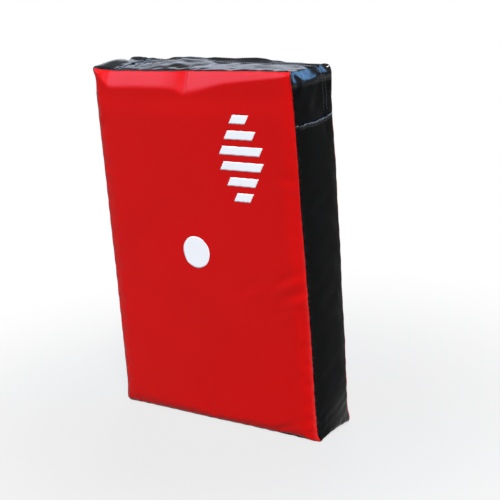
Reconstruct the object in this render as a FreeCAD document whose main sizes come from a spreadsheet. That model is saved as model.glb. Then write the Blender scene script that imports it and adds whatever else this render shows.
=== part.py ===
"""Rectangular kick shield: a foam block in a sewn vinyl cover, held by two padded straps on its back.

The pad stands upright. X runs from left to right, Y from the striking face to the back and Z up.
The origin is the centre of the face it stands on. All lengths are millimetres.

Layers are counted from the outside of the cover inwards: the boxing, which is the strip that runs
round the four edges, then whatever is folded or tucked under it, then the zip tapes, then foam.
"""

import FreeCAD, Part
import math
import os
import re
import Sketcher

# ---------------------------------------------------------------- driving sizes

SIZES = {
    # the cover
    "pad_width": 400,       # outside the boxing, left to right
    "pad_height": 600,      # outside the boxing, bottom to top
    "pad_depth": 100,       # striking face to back face
    "corner_round": 14,     # radius of the boxing where it turns a corner
    "vinyl": 1,             # coated fabric of the cover
    "seam_turn": 10,        # edge of a face panel turned in behind the boxing
    "seam_radius": 0.8,     # roll of the vinyl where a face panel turns into its seam
    # the zip in the top, which turns the right-hand corner and runs a little way down
    "zip_setback": 23,      # middle of the zip, forward of the back face
    "zip_drop": 82,         # hem across the right side, below the top
    "zip_inset": 35,        # hem across the top, in from the left side
    "zip_opening": 14,      # between the folded lips of the two strips
    "zip_fold": 12,         # strip folded under along the front lip
    "tuck": 14,             # strip ends tucked under the hems
    "tape_width": 16,
    "tape_thick": 0.6,
    "tape_tail": 8,         # tape past the end of the chain, under a hem
    "tooth_pitch": 3.6,
    "tooth_length": 2.8,    # tape edge to tip
    "tooth_height": 2.6,
    "tooth_neck": 1.1,
    "tooth_head": 1.8,
    "zip_slot": 1.4,        # between the tips of the two rows
    "chain_inset": 8,       # first and last tooth, in from their hems
    "stop_length": 4,
    "stop_gap": 0.4,        # between a stop and the tooth next to it
    # the slider and its pull
    "slider_park": 17,      # middle of the slider when the zip is shut, from the top hem
    "slider_length": 16,
    "slider_plate": 1.2,
    "slider_flange": 1.2,
    "slider_round": 2,
    "run_gap": 0.4,         # slider clear of teeth, and pull clear of slider
    "tape_gap": 0.3,        # flanges clear of the tapes
    "wedge_width": 0.8,
    "wedge_length": 5,
    "bail_width": 3,
    "bail_length": 8.4,
    "bail_height": 3.6,
    "bail_thick": 1,
    "pull_length": 28,      # hinge bar to tip
    "pull_thick": 1.4,
    "pull_arm": 1.6,
    "pull_slot": 4.8,
    "pull_round": 2.5,
    "pull_hole": 1.6,       # radius
    # the foam block
    "impact_thick": 20,
    "backing_thick": 15,
    "foam_round": 12,
    "ease": 0.3,            # soft pieces clear of each other
    # prints on the striking face
    "print_film": 0.2,
    "spot_radius": 27,
    "spot_shift": -14,      # spot's centre, left of the middle
    "mark_inset": 108,      # bars' centre, in from the right side
    "mark_drop": 137,       # bars' centre, down from the top
    "mark_width": 78,       # longest bar
    "mark_bar": 14,
    "mark_space": 11,
    "mark_slant": 8,        # the ends of a bar lean this far
    # the two straps
    "strap_shift": 90,      # strap's middle from the middle of the pad
    "strap_width": 40,
    "strap_thick": 2,
    "strap_half_span": 110,  # middle to where the webbing lies flat again
    "strap_rise": 50,
    "strap_bend": 30,       # radius where the webbing leaves the back
    "anchor_length": 66,    # webbing stitched flat at each end
    "grip_length": 120,
    "grip_foam": 5,
    "grip_side": 3,         # foam past the edges of the webbing
    "grip_round": 4,
    "patch_thick": 1,
    "patch_width": 60,
    "patch_height": 84,
    "patch_round": 6,
    "inner_patch_width": 70,
    "inner_patch_height": 100,
    "inner_patch_thick": 1,
    # stitching
    "thread_width": 0.8,
    "thread_high": 0.4,
    "zip_stitch_inset": 4,  # from a folded lip
    "hem_stitch_inset": 5,
    "box_inset": 5,         # box stitch, in from the edges of the webbing
    "box_height": 54,
}

# expressions that several pieces share
SIDE = "pad_width/2"
FACE = "-pad_depth/2"
BACK = "pad_depth/2"
ZIP_LINE = "(pad_depth/2 - zip_setback)"
FRONT_LIP = f"({ZIP_LINE} - zip_opening/2)"
REAR_LIP = f"({ZIP_LINE} + zip_opening/2)"
TOP_HEM = "(-pad_width/2 + zip_inset)"
SIDE_HEM = "(pad_height - zip_drop)"
TAPE_LAYER = "(2*vinyl)"
CHAIN_LAYER = "(2*vinyl + tape_thick/2)"
TOOTH_REACH = "(zip_slot/2 + tooth_length)"
PARKED = f"({TOP_HEM} + slider_park)"
PLATE_TOP = f"(pad_height - {CHAIN_LAYER} + tooth_height/2 + run_gap + slider_plate)"
PLATE_BASE = f"(pad_height - {CHAIN_LAYER} - tooth_height/2 - run_gap - slider_plate)"
ARCH_ANGLE = "2*atan(strap_rise/strap_half_span)"
ARCH_RADIUS = f"(strap_half_span/sin({ARCH_ANGLE}) - strap_bend)"
STRAP_BASE = "(pad_depth/2 + patch_thick)"
ANCHOR_MIDDLE = "(strap_half_span + anchor_length/2)"
STRAP_LEVEL = "(pad_height/2)"
GRIP_ANGLE = f"grip_length/{ARCH_RADIUS}*180/pi"
PAST = "5"  # a cut runs this far past what it cuts

doc = FreeCAD.newDocument("kick_shield")
sheet = doc.addObject("Spreadsheet::Sheet", "Sizes")
for row, (alias, value) in enumerate(SIZES.items(), start=1):
    sheet.set(f"A{row}", alias)
    sheet.set(f"B{row}", str(value))
    sheet.setAlias(f"B{row}", alias)
doc.recompute()

# ---------------------------------------------------------------- sketches and features


def bound(text):
    """The expression with each size's name pointing at its cell."""
    return re.sub(r"[a-z_]+", lambda m: "Sizes." + m[0] if m[0] in SIZES else m[0], str(text))


def number(text):
    """What an expression comes to now."""
    return float(sheet.evalExpression(bound(text)))


def arc_between(start, end, radius, turn):
    """Arc of less than half a turn from start to end; turn is 1 to the left and -1 to the right."""
    chord = end - start
    reach = math.sqrt(radius**2 - (chord.Length / 2) ** 2)
    left = FreeCAD.Vector(-chord.y, chord.x, 0) / chord.Length
    centre = start + chord / 2 + left * (reach * turn)
    angles = [math.atan2((p - centre).y, (p - centre).x) for p in (start, end)]
    if turn < 0:
        angles.reverse()
    circle = Part.Circle(centre, FreeCAD.Vector(0, 0, 1), radius)
    return Part.ArcOfCircle(circle, angles[0], angles[1])


def pin_down(sketch, kind, *where, size):
    """A dimension of the sketch, bound to an expression."""
    index = sketch.addConstraint(Sketcher.Constraint(kind, *where, number(size)))
    name = f"size{index}"
    sketch.renameConstraint(index, name)
    sketch.setExpression(f"Constraints.{name}", bound(size))


def draw(sketch, outline):
    """Adds a closed outline: (x, y) is a straight run to that point, (x, y, radius, turn) an arc to it.

    A circle is ("circle", x, y, radius). Every point and radius is an expression of the sizes."""
    if outline[0] == "circle":
        x, y, radius = outline[1:]
        centre = FreeCAD.Vector(number(x), number(y), 0)
        circle = Part.Circle(centre, FreeCAD.Vector(0, 0, 1), number(radius))
        index = sketch.addGeometry(circle, False)
        pin_down(sketch, "Radius", index, size=radius)
        pin_down(sketch, "DistanceX", -1, 1, index, 3, size=x)
        pin_down(sketch, "DistanceY", -1, 1, index, 3, size=y)
        return
    first = sketch.GeometryCount
    points = [FreeCAD.Vector(number(p[0]), number(p[1]), 0) for p in outline]
    ends = []  # each run's end vertex, 2 unless an arc was drawn backwards
    for i, step in enumerate(outline):
        start, end = points[i - 1], points[i]
        if len(step) == 2:
            sketch.addGeometry(Part.LineSegment(start, end), False)
            ends.append((1, 2))
        else:
            radius, turn = number(step[2]), step[3]
            sketch.addGeometry(arc_between(start, end, radius, turn), False)
            ends.append((1, 2) if turn > 0 else (2, 1))
    for i in range(len(outline)):
        after = (i + 1) % len(outline)
        joined = (first + i, ends[i][1], first + after, ends[after][0])
        sketch.addConstraint(Sketcher.Constraint("Coincident", *joined))
    for i, step in enumerate(outline):
        pin_down(sketch, "DistanceX", -1, 1, first + i, ends[i][1], size=step[0])
        pin_down(sketch, "DistanceY", -1, 1, first + i, ends[i][1], size=step[1])
        if len(step) == 4:
            pin_down(sketch, "Radius", first + i, size=step[2])


def rectangle(left, right, low, high):
    return [(left, low), (right, low), (right, high), (left, high)]


def rounded(left, right, low, high, radius):
    """A rectangle with its corners rounded."""
    r = f"({radius})"
    return [
        (f"{right} - {r}", low),
        (right, f"{low} + {r}", r, 1),
        (right, f"{high} - {r}"),
        (f"{right} - {r}", high, r, 1),
        (f"{left} + {r}", high),
        (left, f"{high} - {r}", r, 1),
        (left, f"{low} + {r}"),
        (f"{left} + {r}", low, r, 1),
    ]


def cover_outline(layer):
    """The pad's outline from the front, that many layers of size in from the outside."""
    return rounded(
        f"-pad_width/2 + {layer}",
        f"pad_width/2 - {layer}",
        f"0 + {layer}",
        f"pad_height - {layer}",
        f"corner_round - {layer}",
    )


def wrap_outline(layer, thick, start, end):
    """A band over the top and down the right side, its outside a layer in from the cover's."""
    inner = f"({layer} + {thick})"
    corner_x, corner_z = "pad_width/2 - corner_round", "pad_height - corner_round"
    return [
        (start, f"pad_height - {layer}"),
        (corner_x, f"pad_height - {layer}"),
        (f"pad_width/2 - {layer}", corner_z, f"corner_round - {layer}", -1),
        (f"pad_width/2 - {layer}", end),
        (f"pad_width/2 - {inner}", end),
        (f"pad_width/2 - {inner}", corner_z),
        (corner_x, f"pad_height - {inner}", f"corner_round - {inner}", 1),
        (start, f"pad_height - {inner}"),
    ]


def new_body(label):
    body = doc.addObject("PartDesign::Body", label)
    body.Label = label
    return body


def new_sketch(body, plane, offset, *outlines):
    """A sketch on one of the body's own origin planes, moved by an offset of three expressions."""
    sketch = body.newObject("Sketcher::SketchObject", f"{body.Name}_sketch")
    origin = next(f for f in body.Origin.OriginFeatures if f.Role == plane)
    sketch.AttachmentSupport = [(origin, "")]
    sketch.MapMode = "FlatFace"
    for axis, size in zip("xyz", offset):
        sketch.setExpression(f".AttachmentOffset.Base.{axis}", bound(size))
    for outline in outlines:
        draw(sketch, outline)
    return sketch


def extrude(body, kind, plane, low, high, *outlines):
    """A Pad or Pocket between two levels across a plane: low and high along +X, +Y or +Z."""
    backwards = plane == "XZ_Plane"  # its normal is -Y
    level = f"-({high})" if backwards else low
    sketch = new_sketch(body, plane, ("0", "0", level), *outlines)
    feature = body.newObject(f"PartDesign::{kind}", f"{body.Name}_{kind.lower()}")
    feature.Profile = sketch
    feature.Reversed = kind == "Pocket"  # so that both go the way of the plane's normal
    feature.setExpression("Length", bound(f"({high}) - ({low})"))
    before = body.Shape.Volume if kind == "Pocket" else 0
    doc.recompute()
    if kind == "Pocket" and body.Shape.Volume > before - 1e-3:
        raise RuntimeError(f"a pocket of {body.Label} cuts nothing")
    return feature


def round_edges(body, size, chosen):
    """A fillet on the edges of the body's shape that the chosen test picks."""
    base = body.Tip
    names = [f"Edge{i}" for i, e in enumerate(base.Shape.Edges, start=1) if chosen(e)]
    fillet = body.newObject("PartDesign::Fillet", f"{body.Name}_fillet")
    fillet.Base = (base, names)
    fillet.setExpression("Radius", bound(size))
    doc.recompute()


def solid_group(label, shapes):
    """A node of several alike solids, placed by this file's own arithmetic."""
    group = doc.addObject("Part::Feature", label)
    group.Label = label
    group.Shape = Part.makeCompound(shapes)
    return group


# ---------------------------------------------------------------- the cover


def make_face_panel(label, face, inwards):
    """A red face: a flat sheet whose edges turn in behind the boxing."""
    panel = new_body(label)
    turned_edge = f"{face} + {inwards}*seam_turn"
    inside = f"{face} + {inwards}*vinyl"
    whole = (face, turned_edge) if inwards > 0 else (turned_edge, face)
    hollow = (inside, turned_edge) if inwards > 0 else (turned_edge, inside)
    extrude(panel, "Pad", "XZ_Plane", *whole, cover_outline("vinyl"))
    extrude(panel, "Pocket", "XZ_Plane", *hollow, cover_outline("2*vinyl"))
    level = number(face)
    round_edges(
        panel, "seam_radius", lambda e: all(abs(v.Y - level) < 1e-6 for v in e.Vertexes)
    )
    return panel


def make_main_boxing():
    """One long strip: down the right side from the side hem, under, up the left, to the top hem."""
    boxing = new_body("main_boxing")
    extrude(boxing, "Pad", "XZ_Plane", FACE, BACK, cover_outline("0"))
    extrude(boxing, "Pocket", "XZ_Plane", FACE, BACK, cover_outline("vinyl"))
    zip_side = rectangle(TOP_HEM, f"{SIDE} + {PAST}", SIDE_HEM, f"pad_height + {PAST}")
    extrude(boxing, "Pocket", "XZ_Plane", FACE, BACK, zip_side)
    return boxing


def make_zip_strip(label, low, high, fold_low, fold_high, tail_low, tail_high):
    """A strip beside the zip, folded under along its lip, with a tail tucked under each hem."""
    strip = new_body(label)
    extrude(strip, "Pad", "XZ_Plane", low, high, wrap_outline("0", "vinyl", TOP_HEM, SIDE_HEM))
    fold = wrap_outline("vinyl", "vinyl", TOP_HEM, SIDE_HEM)
    extrude(strip, "Pad", "XZ_Plane", fold_low, fold_high, fold)
    top_tail = rectangle(
        f"{TOP_HEM} - tuck", f"{TOP_HEM} + tuck", "pad_height - 2*vinyl", "pad_height - vinyl"
    )
    side_tail = rectangle(
        f"{SIDE} - 2*vinyl", f"{SIDE} - vinyl", f"{SIDE_HEM} - tuck", f"{SIDE_HEM} + tuck"
    )
    extrude(strip, "Pad", "XZ_Plane", tail_low, tail_high, top_tail)
    extrude(strip, "Pad", "XZ_Plane", tail_low, tail_high, side_tail)
    return strip


front_panel = make_face_panel("front_panel", FACE, 1)
back_panel = make_face_panel("back_panel", BACK, -1)
main_boxing = make_main_boxing()
inside_front = f"({FACE} + seam_turn + ease)"
inside_back = f"({BACK} - seam_turn - ease)"
zip_boxing_front = make_zip_strip(
    "zip_boxing_front", FACE, FRONT_LIP, f"{FRONT_LIP} - zip_fold", FRONT_LIP,
    inside_front, FRONT_LIP,
)
zip_boxing_rear = make_zip_strip(
    "zip_boxing_rear", REAR_LIP, BACK, REAR_LIP, inside_back, REAR_LIP, inside_back
)
cover = [front_panel, back_panel, main_boxing, zip_boxing_front, zip_boxing_rear]

# ---------------------------------------------------------------- the zip


def make_tape(label, low, high):
    """Woven tape under a strip's fold, its edge at the back of the teeth."""
    tape = new_body(label)
    start, end = f"{TOP_HEM} - tape_tail", f"{SIDE_HEM} - tape_tail"
    band = wrap_outline(TAPE_LAYER, "tape_thick", start, end)
    extrude(tape, "Pad", "XZ_Plane", low, high, band)
    return tape


def chain_ends():
    """Where the chain starts along the top, and where it ends on the right side."""
    return number(f"{TOP_HEM} + chain_inset"), number(f"{SIDE_HEM} + chain_inset")


def chain_place(distance):
    """Placement of a point of the chain, that far from its start, +X along it and +Z outwards."""
    start = chain_ends()[0]
    corner_x = number("pad_width/2 - corner_round")
    corner_z = number("pad_height - corner_round")
    radius = number(f"corner_round - {CHAIN_LAYER}")
    top_run = corner_x - start
    bend = radius * math.pi / 2
    turned = min(max((distance - top_run) / bend, 0), 1) * math.pi / 2
    x = min(start + distance, corner_x) + radius * math.sin(turned)
    z = corner_z + radius * math.cos(turned) - max(distance - top_run - bend, 0)
    spin = FreeCAD.Rotation(FreeCAD.Vector(0, 1, 0), math.degrees(turned))
    return FreeCAD.Placement(FreeCAD.Vector(x, number(ZIP_LINE), z), spin)


def chain_length():
    start, end = chain_ends()
    top_run = number("pad_width/2 - corner_round") - start
    bend = number(f"corner_round - {CHAIN_LAYER}") * math.pi / 2
    return top_run + bend + number("pad_height - corner_round") - end


def block(length, width, height, side=0.0):
    """A box about the origin, moved sideways."""
    corner = FreeCAD.Vector(-length / 2, side - width / 2, -height / 2)
    return Part.makeBox(length, width, height, corner)


def make_teeth(label, side):
    """One row of moulded teeth. side is -1 for the front row and 1 for the rear one."""
    back, tip = number(TOOTH_REACH) * side, number("zip_slot/2") * side
    shoulder = (2 * tip + back) / 3
    neck, head = number("tooth_neck/2"), number("tooth_head/2")
    outline = [(-neck, back), (-neck, shoulder), (-head, shoulder), (-head, tip)]
    corners = outline + [(-x, y) for x, y in reversed(outline)]
    height = number("tooth_height")
    points = [FreeCAD.Vector(x, y, -height / 2) for x, y in corners]
    tooth = Part.Face(Part.makePolygon([*points, points[0]])).extrude(FreeCAD.Vector(0, 0, height))
    pitch = number("tooth_pitch")
    lag = pitch / 2 if side > 0 else 0  # the rows stand half a pitch apart, tooth facing gap
    count = int((chain_length() - lag) / pitch)
    teeth = []
    for i in range(count):
        copy = tooth.copy()
        copy.Placement = chain_place(lag + i * pitch)
        teeth.append(copy)
    return solid_group(label, teeth)


def make_stops():
    """A clamp on each tape where the chain starts, and one bar across both rows where it ends."""
    length, height = number("stop_length"), number("tooth_height")
    gap = number("stop_gap") + number("tooth_head/2") + length / 2
    start = chain_place(0)
    start.Base.x -= gap
    width = number("tooth_length")
    clamps = []
    for side in (-1, 1):
        clamp = block(length, width, height, side * (number("zip_slot/2") + width / 2))
        clamp.Placement = start
        clamps.append(clamp)
    bar = block(length, 2 * number(TOOTH_REACH), height)
    bar.Placement = chain_place(chain_length() + gap)
    return [solid_group("zip_start_stops", clamps), solid_group("zip_end_stop", [bar])]


def make_slider():
    """Two flanged plates joined by a wedge between the rows, with a bail on top for the pull."""
    slider = new_body("zip_slider")
    half = f"({TOOTH_REACH} + run_gap + slider_flange)"
    ends = (f"{PARKED} - slider_length/2", f"{PARKED} + slider_length/2")
    plate = rounded(*ends, f"{ZIP_LINE} - {half}", f"{ZIP_LINE} + {half}", "slider_round")
    extrude(slider, "Pad", "XY_Plane", f"{PLATE_TOP} - slider_plate", PLATE_TOP, plate)
    bar_ends = (f"{PARKED} - slider_length/2 + slider_round", f"{PARKED} + slider_length/2 - slider_round")
    inner = f"({half} - slider_flange)"
    flanges = [
        rectangle(*bar_ends, f"{ZIP_LINE} + {inner}", f"{ZIP_LINE} + {half}"),
        rectangle(*bar_ends, f"{ZIP_LINE} - {half}", f"{ZIP_LINE} - {inner}"),
    ]
    tape_top = f"(pad_height - {TAPE_LAYER})"
    tape_low = f"(pad_height - {TAPE_LAYER} - tape_thick)"
    wedge = rectangle(
        ends[0], f"{ends[0]} + wedge_length", f"{ZIP_LINE} - wedge_width/2", f"{ZIP_LINE} + wedge_width/2"
    )
    upper = f"({PLATE_TOP} - slider_plate)"
    lower = f"({PLATE_BASE} + slider_plate)"
    for flange in flanges:
        extrude(slider, "Pad", "XY_Plane", f"{tape_top} + tape_gap", upper, flange)
    extrude(slider, "Pad", "XY_Plane", lower, upper, wedge)
    extrude(slider, "Pad", "XY_Plane", PLATE_BASE, lower, plate)
    for flange in flanges:
        extrude(slider, "Pad", "XY_Plane", lower, f"{tape_low} - tape_gap", flange)
    bail = rectangle(
        f"{PARKED} - bail_length/2", f"{PARKED} + bail_length/2", PLATE_TOP, f"{PLATE_TOP} + bail_height"
    )
    window = rectangle(
        f"{PARKED} - bail_length/2 + 1.2*bail_thick",
        f"{PARKED} + bail_length/2 - 1.2*bail_thick",
        PLATE_TOP,
        f"{PLATE_TOP} + bail_height - bail_thick",
    )
    across = (f"{ZIP_LINE} - bail_width/2", f"{ZIP_LINE} + bail_width/2")
    extrude(slider, "Pad", "XZ_Plane", *across, bail)
    extrude(slider, "Pocket", "XZ_Plane", *across, window)
    return slider


PULL_AXIS = f"({PLATE_TOP} + (bail_height - bail_thick)/2)"


def make_pull():
    """A flat tab whose end bar turns under the bail, with two arms that pass its sides."""
    pull = new_body("zip_pull")
    inner = "(bail_width/2 + run_gap)"
    half = f"({inner} + pull_arm)"
    span = (f"{PARKED} - pull_thick/2", f"{PARKED} + pull_length")
    levels = (f"{PULL_AXIS} - pull_thick/2", f"{PULL_AXIS} + pull_thick/2")
    tab = [
        (span[0], f"{ZIP_LINE} - {half}"),
        (f"{span[1]} - pull_round", f"{ZIP_LINE} - {half}"),
        (span[1], f"{ZIP_LINE} - {half} + pull_round", "pull_round", 1),
        (span[1], f"{ZIP_LINE} + {half} - pull_round"),
        (f"{span[1]} - pull_round", f"{ZIP_LINE} + {half}", "pull_round", 1),
        (span[0], f"{ZIP_LINE} + {half}"),
    ]
    extrude(pull, "Pad", "XY_Plane", *levels, tab)
    slot_start = f"({PARKED} + pull_thick/2)"
    slot = rectangle(
        slot_start, f"{slot_start} + pull_slot", f"{ZIP_LINE} - {inner}", f"{ZIP_LINE} + {inner}"
    )
    hole = ("circle", f"{span[1]} - 2*pull_hole", ZIP_LINE, "pull_hole")
    extrude(pull, "Pocket", "XY_Plane", *levels, slot, hole)
    return pull


zip_pieces = [
    make_tape("zip_tape_front", f"{ZIP_LINE} - {TOOTH_REACH} - tape_width", f"{ZIP_LINE} - {TOOTH_REACH}"),
    make_tape("zip_tape_rear", f"{ZIP_LINE} + {TOOTH_REACH}", f"{ZIP_LINE} + {TOOTH_REACH} + tape_width"),
    make_teeth("zip_teeth_front", -1),
    make_teeth("zip_teeth_rear", 1),
    *make_stops(),
    make_slider(),
    make_pull(),
]

# ---------------------------------------------------------------- the foam block


def make_foam(label, low, high):
    """A full-size slab. The block is clear of the zip's teeth at the side and its slider on top."""
    side = f"({CHAIN_LAYER} + tooth_height/2 + ease)"
    slab = new_body(label)
    outline = rounded(
        f"-pad_width/2 + {side}", f"pad_width/2 - {side}",
        "2*vinyl + ease", f"{PLATE_BASE} - ease", "foam_round",
    )
    extrude(slab, "Pad", "XZ_Plane", low, high, outline)
    return slab


foam_face = f"({FACE} + vinyl + ease)"
foam_back = f"({BACK} - vinyl - inner_patch_thick - ease)"
core_face = f"({foam_face} + impact_thick)"
core_back = f"({foam_back} - backing_thick)"
foam_block = [
    make_foam("impact_foam", foam_face, core_face),
    make_foam("core_foam", core_face, core_back),
    make_foam("backing_foam", core_back, foam_back),
]

# ---------------------------------------------------------------- prints on the striking face


def make_target_spot():
    """The white disc to aim at, a film pressed on the vinyl."""
    spot = new_body("target_spot")
    disc = ("circle", "spot_shift", "pad_height/2", "spot_radius")
    extrude(spot, "Pad", "XZ_Plane", f"{FACE} - print_film", FACE, disc)
    return spot


def make_front_mark():
    """A plain ornament: six slanted bars, long in the middle and short at the ends."""
    mark = new_body("front_mark")
    mark.AllowCompound = True
    middle = "pad_width/2 - mark_inset"
    shares = (0.4, 0.7, 1.0, 1.0, 0.7, 0.4)  # of the longest bar
    bars = []
    for i, share in enumerate(shares):
        half = f"({share}*mark_width/2)"
        level = f"(pad_height - mark_drop + {i - len(shares) / 2 + 0.5}*(mark_bar + mark_space))"
        low, high = f"{level} - mark_bar/2", f"{level} + mark_bar/2"
        bars.append([
            (f"{middle} - {half} - mark_slant/2", low),
            (f"{middle} + {half} - mark_slant/2", low),
            (f"{middle} + {half} + mark_slant/2", high),
            (f"{middle} - {half} + mark_slant/2", high),
        ])
    extrude(mark, "Pad", "XZ_Plane", f"{FACE} - print_film", FACE, *bars)
    return mark


prints = [make_target_spot(), make_front_mark()]

# ---------------------------------------------------------------- the straps on the back


def strap_edge(base, bend, radius, up):
    """One surface of the webbing from anchor to anchor, upwards or downwards, as outline steps."""
    sign = "+" if up else "-"
    other = "-" if up else "+"
    turn = 1 if up else -1
    out = f"{base} + ({bend})*(1 - cos({ARCH_ANGLE}))"
    along = f"({bend})*sin({ARCH_ANGLE})"
    return [
        (base, f"{STRAP_LEVEL} {other} strap_half_span {other} anchor_length"),
        (base, f"{STRAP_LEVEL} {other} strap_half_span"),
        (out, f"{STRAP_LEVEL} {other} strap_half_span {sign} {along}", bend, -turn),
        (out, f"{STRAP_LEVEL} {sign} strap_half_span {other} {along}", radius, turn),
        (base, f"{STRAP_LEVEL} {sign} strap_half_span", bend, -turn),
        (base, f"{STRAP_LEVEL} {sign} strap_half_span {sign} anchor_length"),
    ]


def make_strap(side, middle):
    """Webbing stitched flat at both ends, with an arch between, and a padded grip round the arch."""
    webbing = new_body(f"strap_webbing_{side}")
    inner = strap_edge(STRAP_BASE, "strap_bend", ARCH_RADIUS, True)
    outer = strap_edge(
        f"({STRAP_BASE} + strap_thick)", "(strap_bend - strap_thick)",
        f"({ARCH_RADIUS} + strap_thick)", False,
    )
    edges = (f"{middle} - strap_width/2", f"{middle} + strap_width/2")
    extrude(webbing, "Pad", "YZ_Plane", *edges, inner + outer)

    centre = f"{STRAP_BASE} + strap_rise - {ARCH_RADIUS}"
    web_half = "(strap_width/2 + ease)"
    web_low = f"({ARCH_RADIUS} - ease)"
    web_high = f"({ARCH_RADIUS} + strap_thick + ease)"
    foam_half = f"({web_half} + grip_side)"
    foam_low, foam_high = f"({web_low} - grip_foam)", f"({web_high} + grip_foam)"
    hollow_half = f"({foam_half} + ease)"
    hollow_low, hollow_high = f"({foam_low} - ease)", f"({foam_high} + ease)"
    skin_half = f"({hollow_half} + vinyl)"
    skin_low, skin_high = f"({hollow_low} - vinyl)", f"({hollow_high} + vinyl)"
    foam_outlines = (
        rounded(f"-{foam_half}", foam_half, foam_low, foam_high, "grip_round - vinyl - ease"),
        rectangle(f"-{web_half}", web_half, web_low, web_high),
    )
    skin_outlines = (
        rounded(f"-{skin_half}", skin_half, skin_low, skin_high, "grip_round"),
        rounded(f"-{hollow_half}", hollow_half, hollow_low, hollow_high, "grip_round - vinyl"),
    )
    pieces = [webbing]
    for name, outlines in (("grip_foam", foam_outlines), ("grip_sleeve", skin_outlines)):
        body = new_body(f"{name}_{side}")
        sketch = new_sketch(body, "XY_Plane", (middle, centre, STRAP_LEVEL), *outlines)
        turned = body.newObject("PartDesign::Revolution", f"{body.Name}_revolution")
        turned.Profile = sketch
        turned.ReferenceAxis = (sketch, ["H_Axis"])
        turned.Midplane = True
        turned.setExpression("Angle", bound(GRIP_ANGLE))
        pieces.append(body)
    return pieces


def make_patches(side, middle):
    """A square of vinyl under each end of the webbing, and a larger one inside the cover."""
    pieces = []
    for level, sign in (("lower", "-"), ("upper", "+")):
        height = f"({STRAP_LEVEL} {sign} {ANCHOR_MIDDLE})"
        outer = new_body(f"strap_patch_{level}_{side}")
        outline = rounded(
            f"{middle} - patch_width/2", f"{middle} + patch_width/2",
            f"{height} - patch_height/2", f"{height} + patch_height/2", "patch_round",
        )
        extrude(outer, "Pad", "XZ_Plane", BACK, f"{BACK} + patch_thick", outline)
        inner = new_body(f"inner_patch_{level}_{side}")
        outline = rounded(
            f"{middle} - inner_patch_width/2", f"{middle} + inner_patch_width/2",
            f"{height} - inner_patch_height/2", f"{height} + inner_patch_height/2", "patch_round",
        )
        behind = f"({BACK} - vinyl)"
        extrude(inner, "Pad", "XZ_Plane", f"{behind} - inner_patch_thick", behind, outline)
        pieces += [outer, inner]
    return pieces


STRAPS = {"left": "(-strap_shift)", "right": "(strap_shift)"}
straps = []
for strap_side, strap_middle in STRAPS.items():
    straps += make_strap(strap_side, strap_middle)
    straps += make_patches(strap_side, strap_middle)

# ---------------------------------------------------------------- stitching that shows


def make_zip_stitching(label, line):
    """A row of stitches beside a lip, over the top and down the side as the zip goes."""
    row = new_body(label)
    bead = wrap_outline("(-thread_high)", "thread_high", TOP_HEM, SIDE_HEM)
    extrude(row, "Pad", "XZ_Plane", f"{line} - thread_width/2", f"{line} + thread_width/2", bead)
    return row


def thread_bar(start, end, width, height):
    """A straight thread lying on a wall that faces +Y, between two points of that wall."""
    run = end - start
    bar = Part.makeBox(run.Length, height, width, FreeCAD.Vector(0, 0, -width / 2))
    lean = math.degrees(math.atan2(-run.z, run.x))
    bar.Placement = FreeCAD.Placement(start, FreeCAD.Rotation(FreeCAD.Vector(0, 1, 0), lean))
    return bar


def make_hem_stitching():
    """One row across the boxing at each hem."""
    width, high, inset = number("thread_width"), number("thread_high"), number("hem_stitch_inset")
    depth = number("pad_depth") - 2 * inset
    corner = number("pad_width/2")
    side_level = number(SIDE_HEM) - inset
    side_row = Part.makeBox(high, depth, width, FreeCAD.Vector(corner, -depth / 2, side_level))
    top_line = number(TOP_HEM) - inset
    top = FreeCAD.Vector(top_line, -depth / 2, number("pad_height"))
    return solid_group("hem_stitching", [side_row, Part.makeBox(width, depth, high, top)])


def make_strap_stitching():
    """A box and cross of thread through each end of both straps."""
    wide = number("strap_width/2 - box_inset")
    tall = number("box_height/2")
    width, high = number("thread_width"), number("thread_high")
    wall = number(f"{STRAP_BASE} + strap_thick")
    boxes = []
    for middle in STRAPS.values():
        for sign in (-1, 1):
            level = number(STRAP_LEVEL) + sign * number(ANCHOR_MIDDLE)
            corners = [
                FreeCAD.Vector(number(middle) + x * wide, wall, level + z * tall)
                for x, z in ((-1, -1), (1, -1), (1, 1), (-1, 1))
            ]
            runs = [(0, 1), (1, 2), (2, 3), (3, 0), (0, 2), (1, 3)]
            bars = [thread_bar(corners[a], corners[b], width, high) for a, b in runs]
            boxes.append(bars[0].multiFuse(bars[1:]).removeSplitter())
    return solid_group("strap_stitching", boxes)


stitching = [
    make_zip_stitching("zip_stitching_front", f"({FRONT_LIP} - zip_stitch_inset)"),
    make_zip_stitching("zip_stitching_rear", f"({REAR_LIP} + zip_stitch_inset)"),
    make_hem_stitching(),
    make_strap_stitching(),
]

# ---------------------------------------------------------------- check and write

doc.recompute()
for item in doc.Objects:
    if "Invalid" in item.State or "Error" in item.State:
        raise RuntimeError(f"{item.Label} failed: {item.State}")
os.makedirs("parts", exist_ok=True)
for piece in [*cover, *zip_pieces, *foam_block, *prints, *straps, *stitching]:
    shape = piece.Shape
    if shape.isNull() or not shape.isValid() or not shape.Solids:
        raise RuntimeError(f"{piece.Label} has no valid solid")
    shape.exportStep(f"parts/{piece.Label}.step")
    print(f"{piece.Label}: {len(shape.Solids)} solids, {shape.Volume / 1000:.2f} cm3")
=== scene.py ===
"""A kick shield: a foam block in a sewn vinyl cover, red on its faces and black round its edges.

It stands upright. X runs left to right, Y from the striking face to the back and Z up, in metres.
"""

import math

import bmesh
import bpy
import numpy as np
from mathutils import Matrix, Vector


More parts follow.
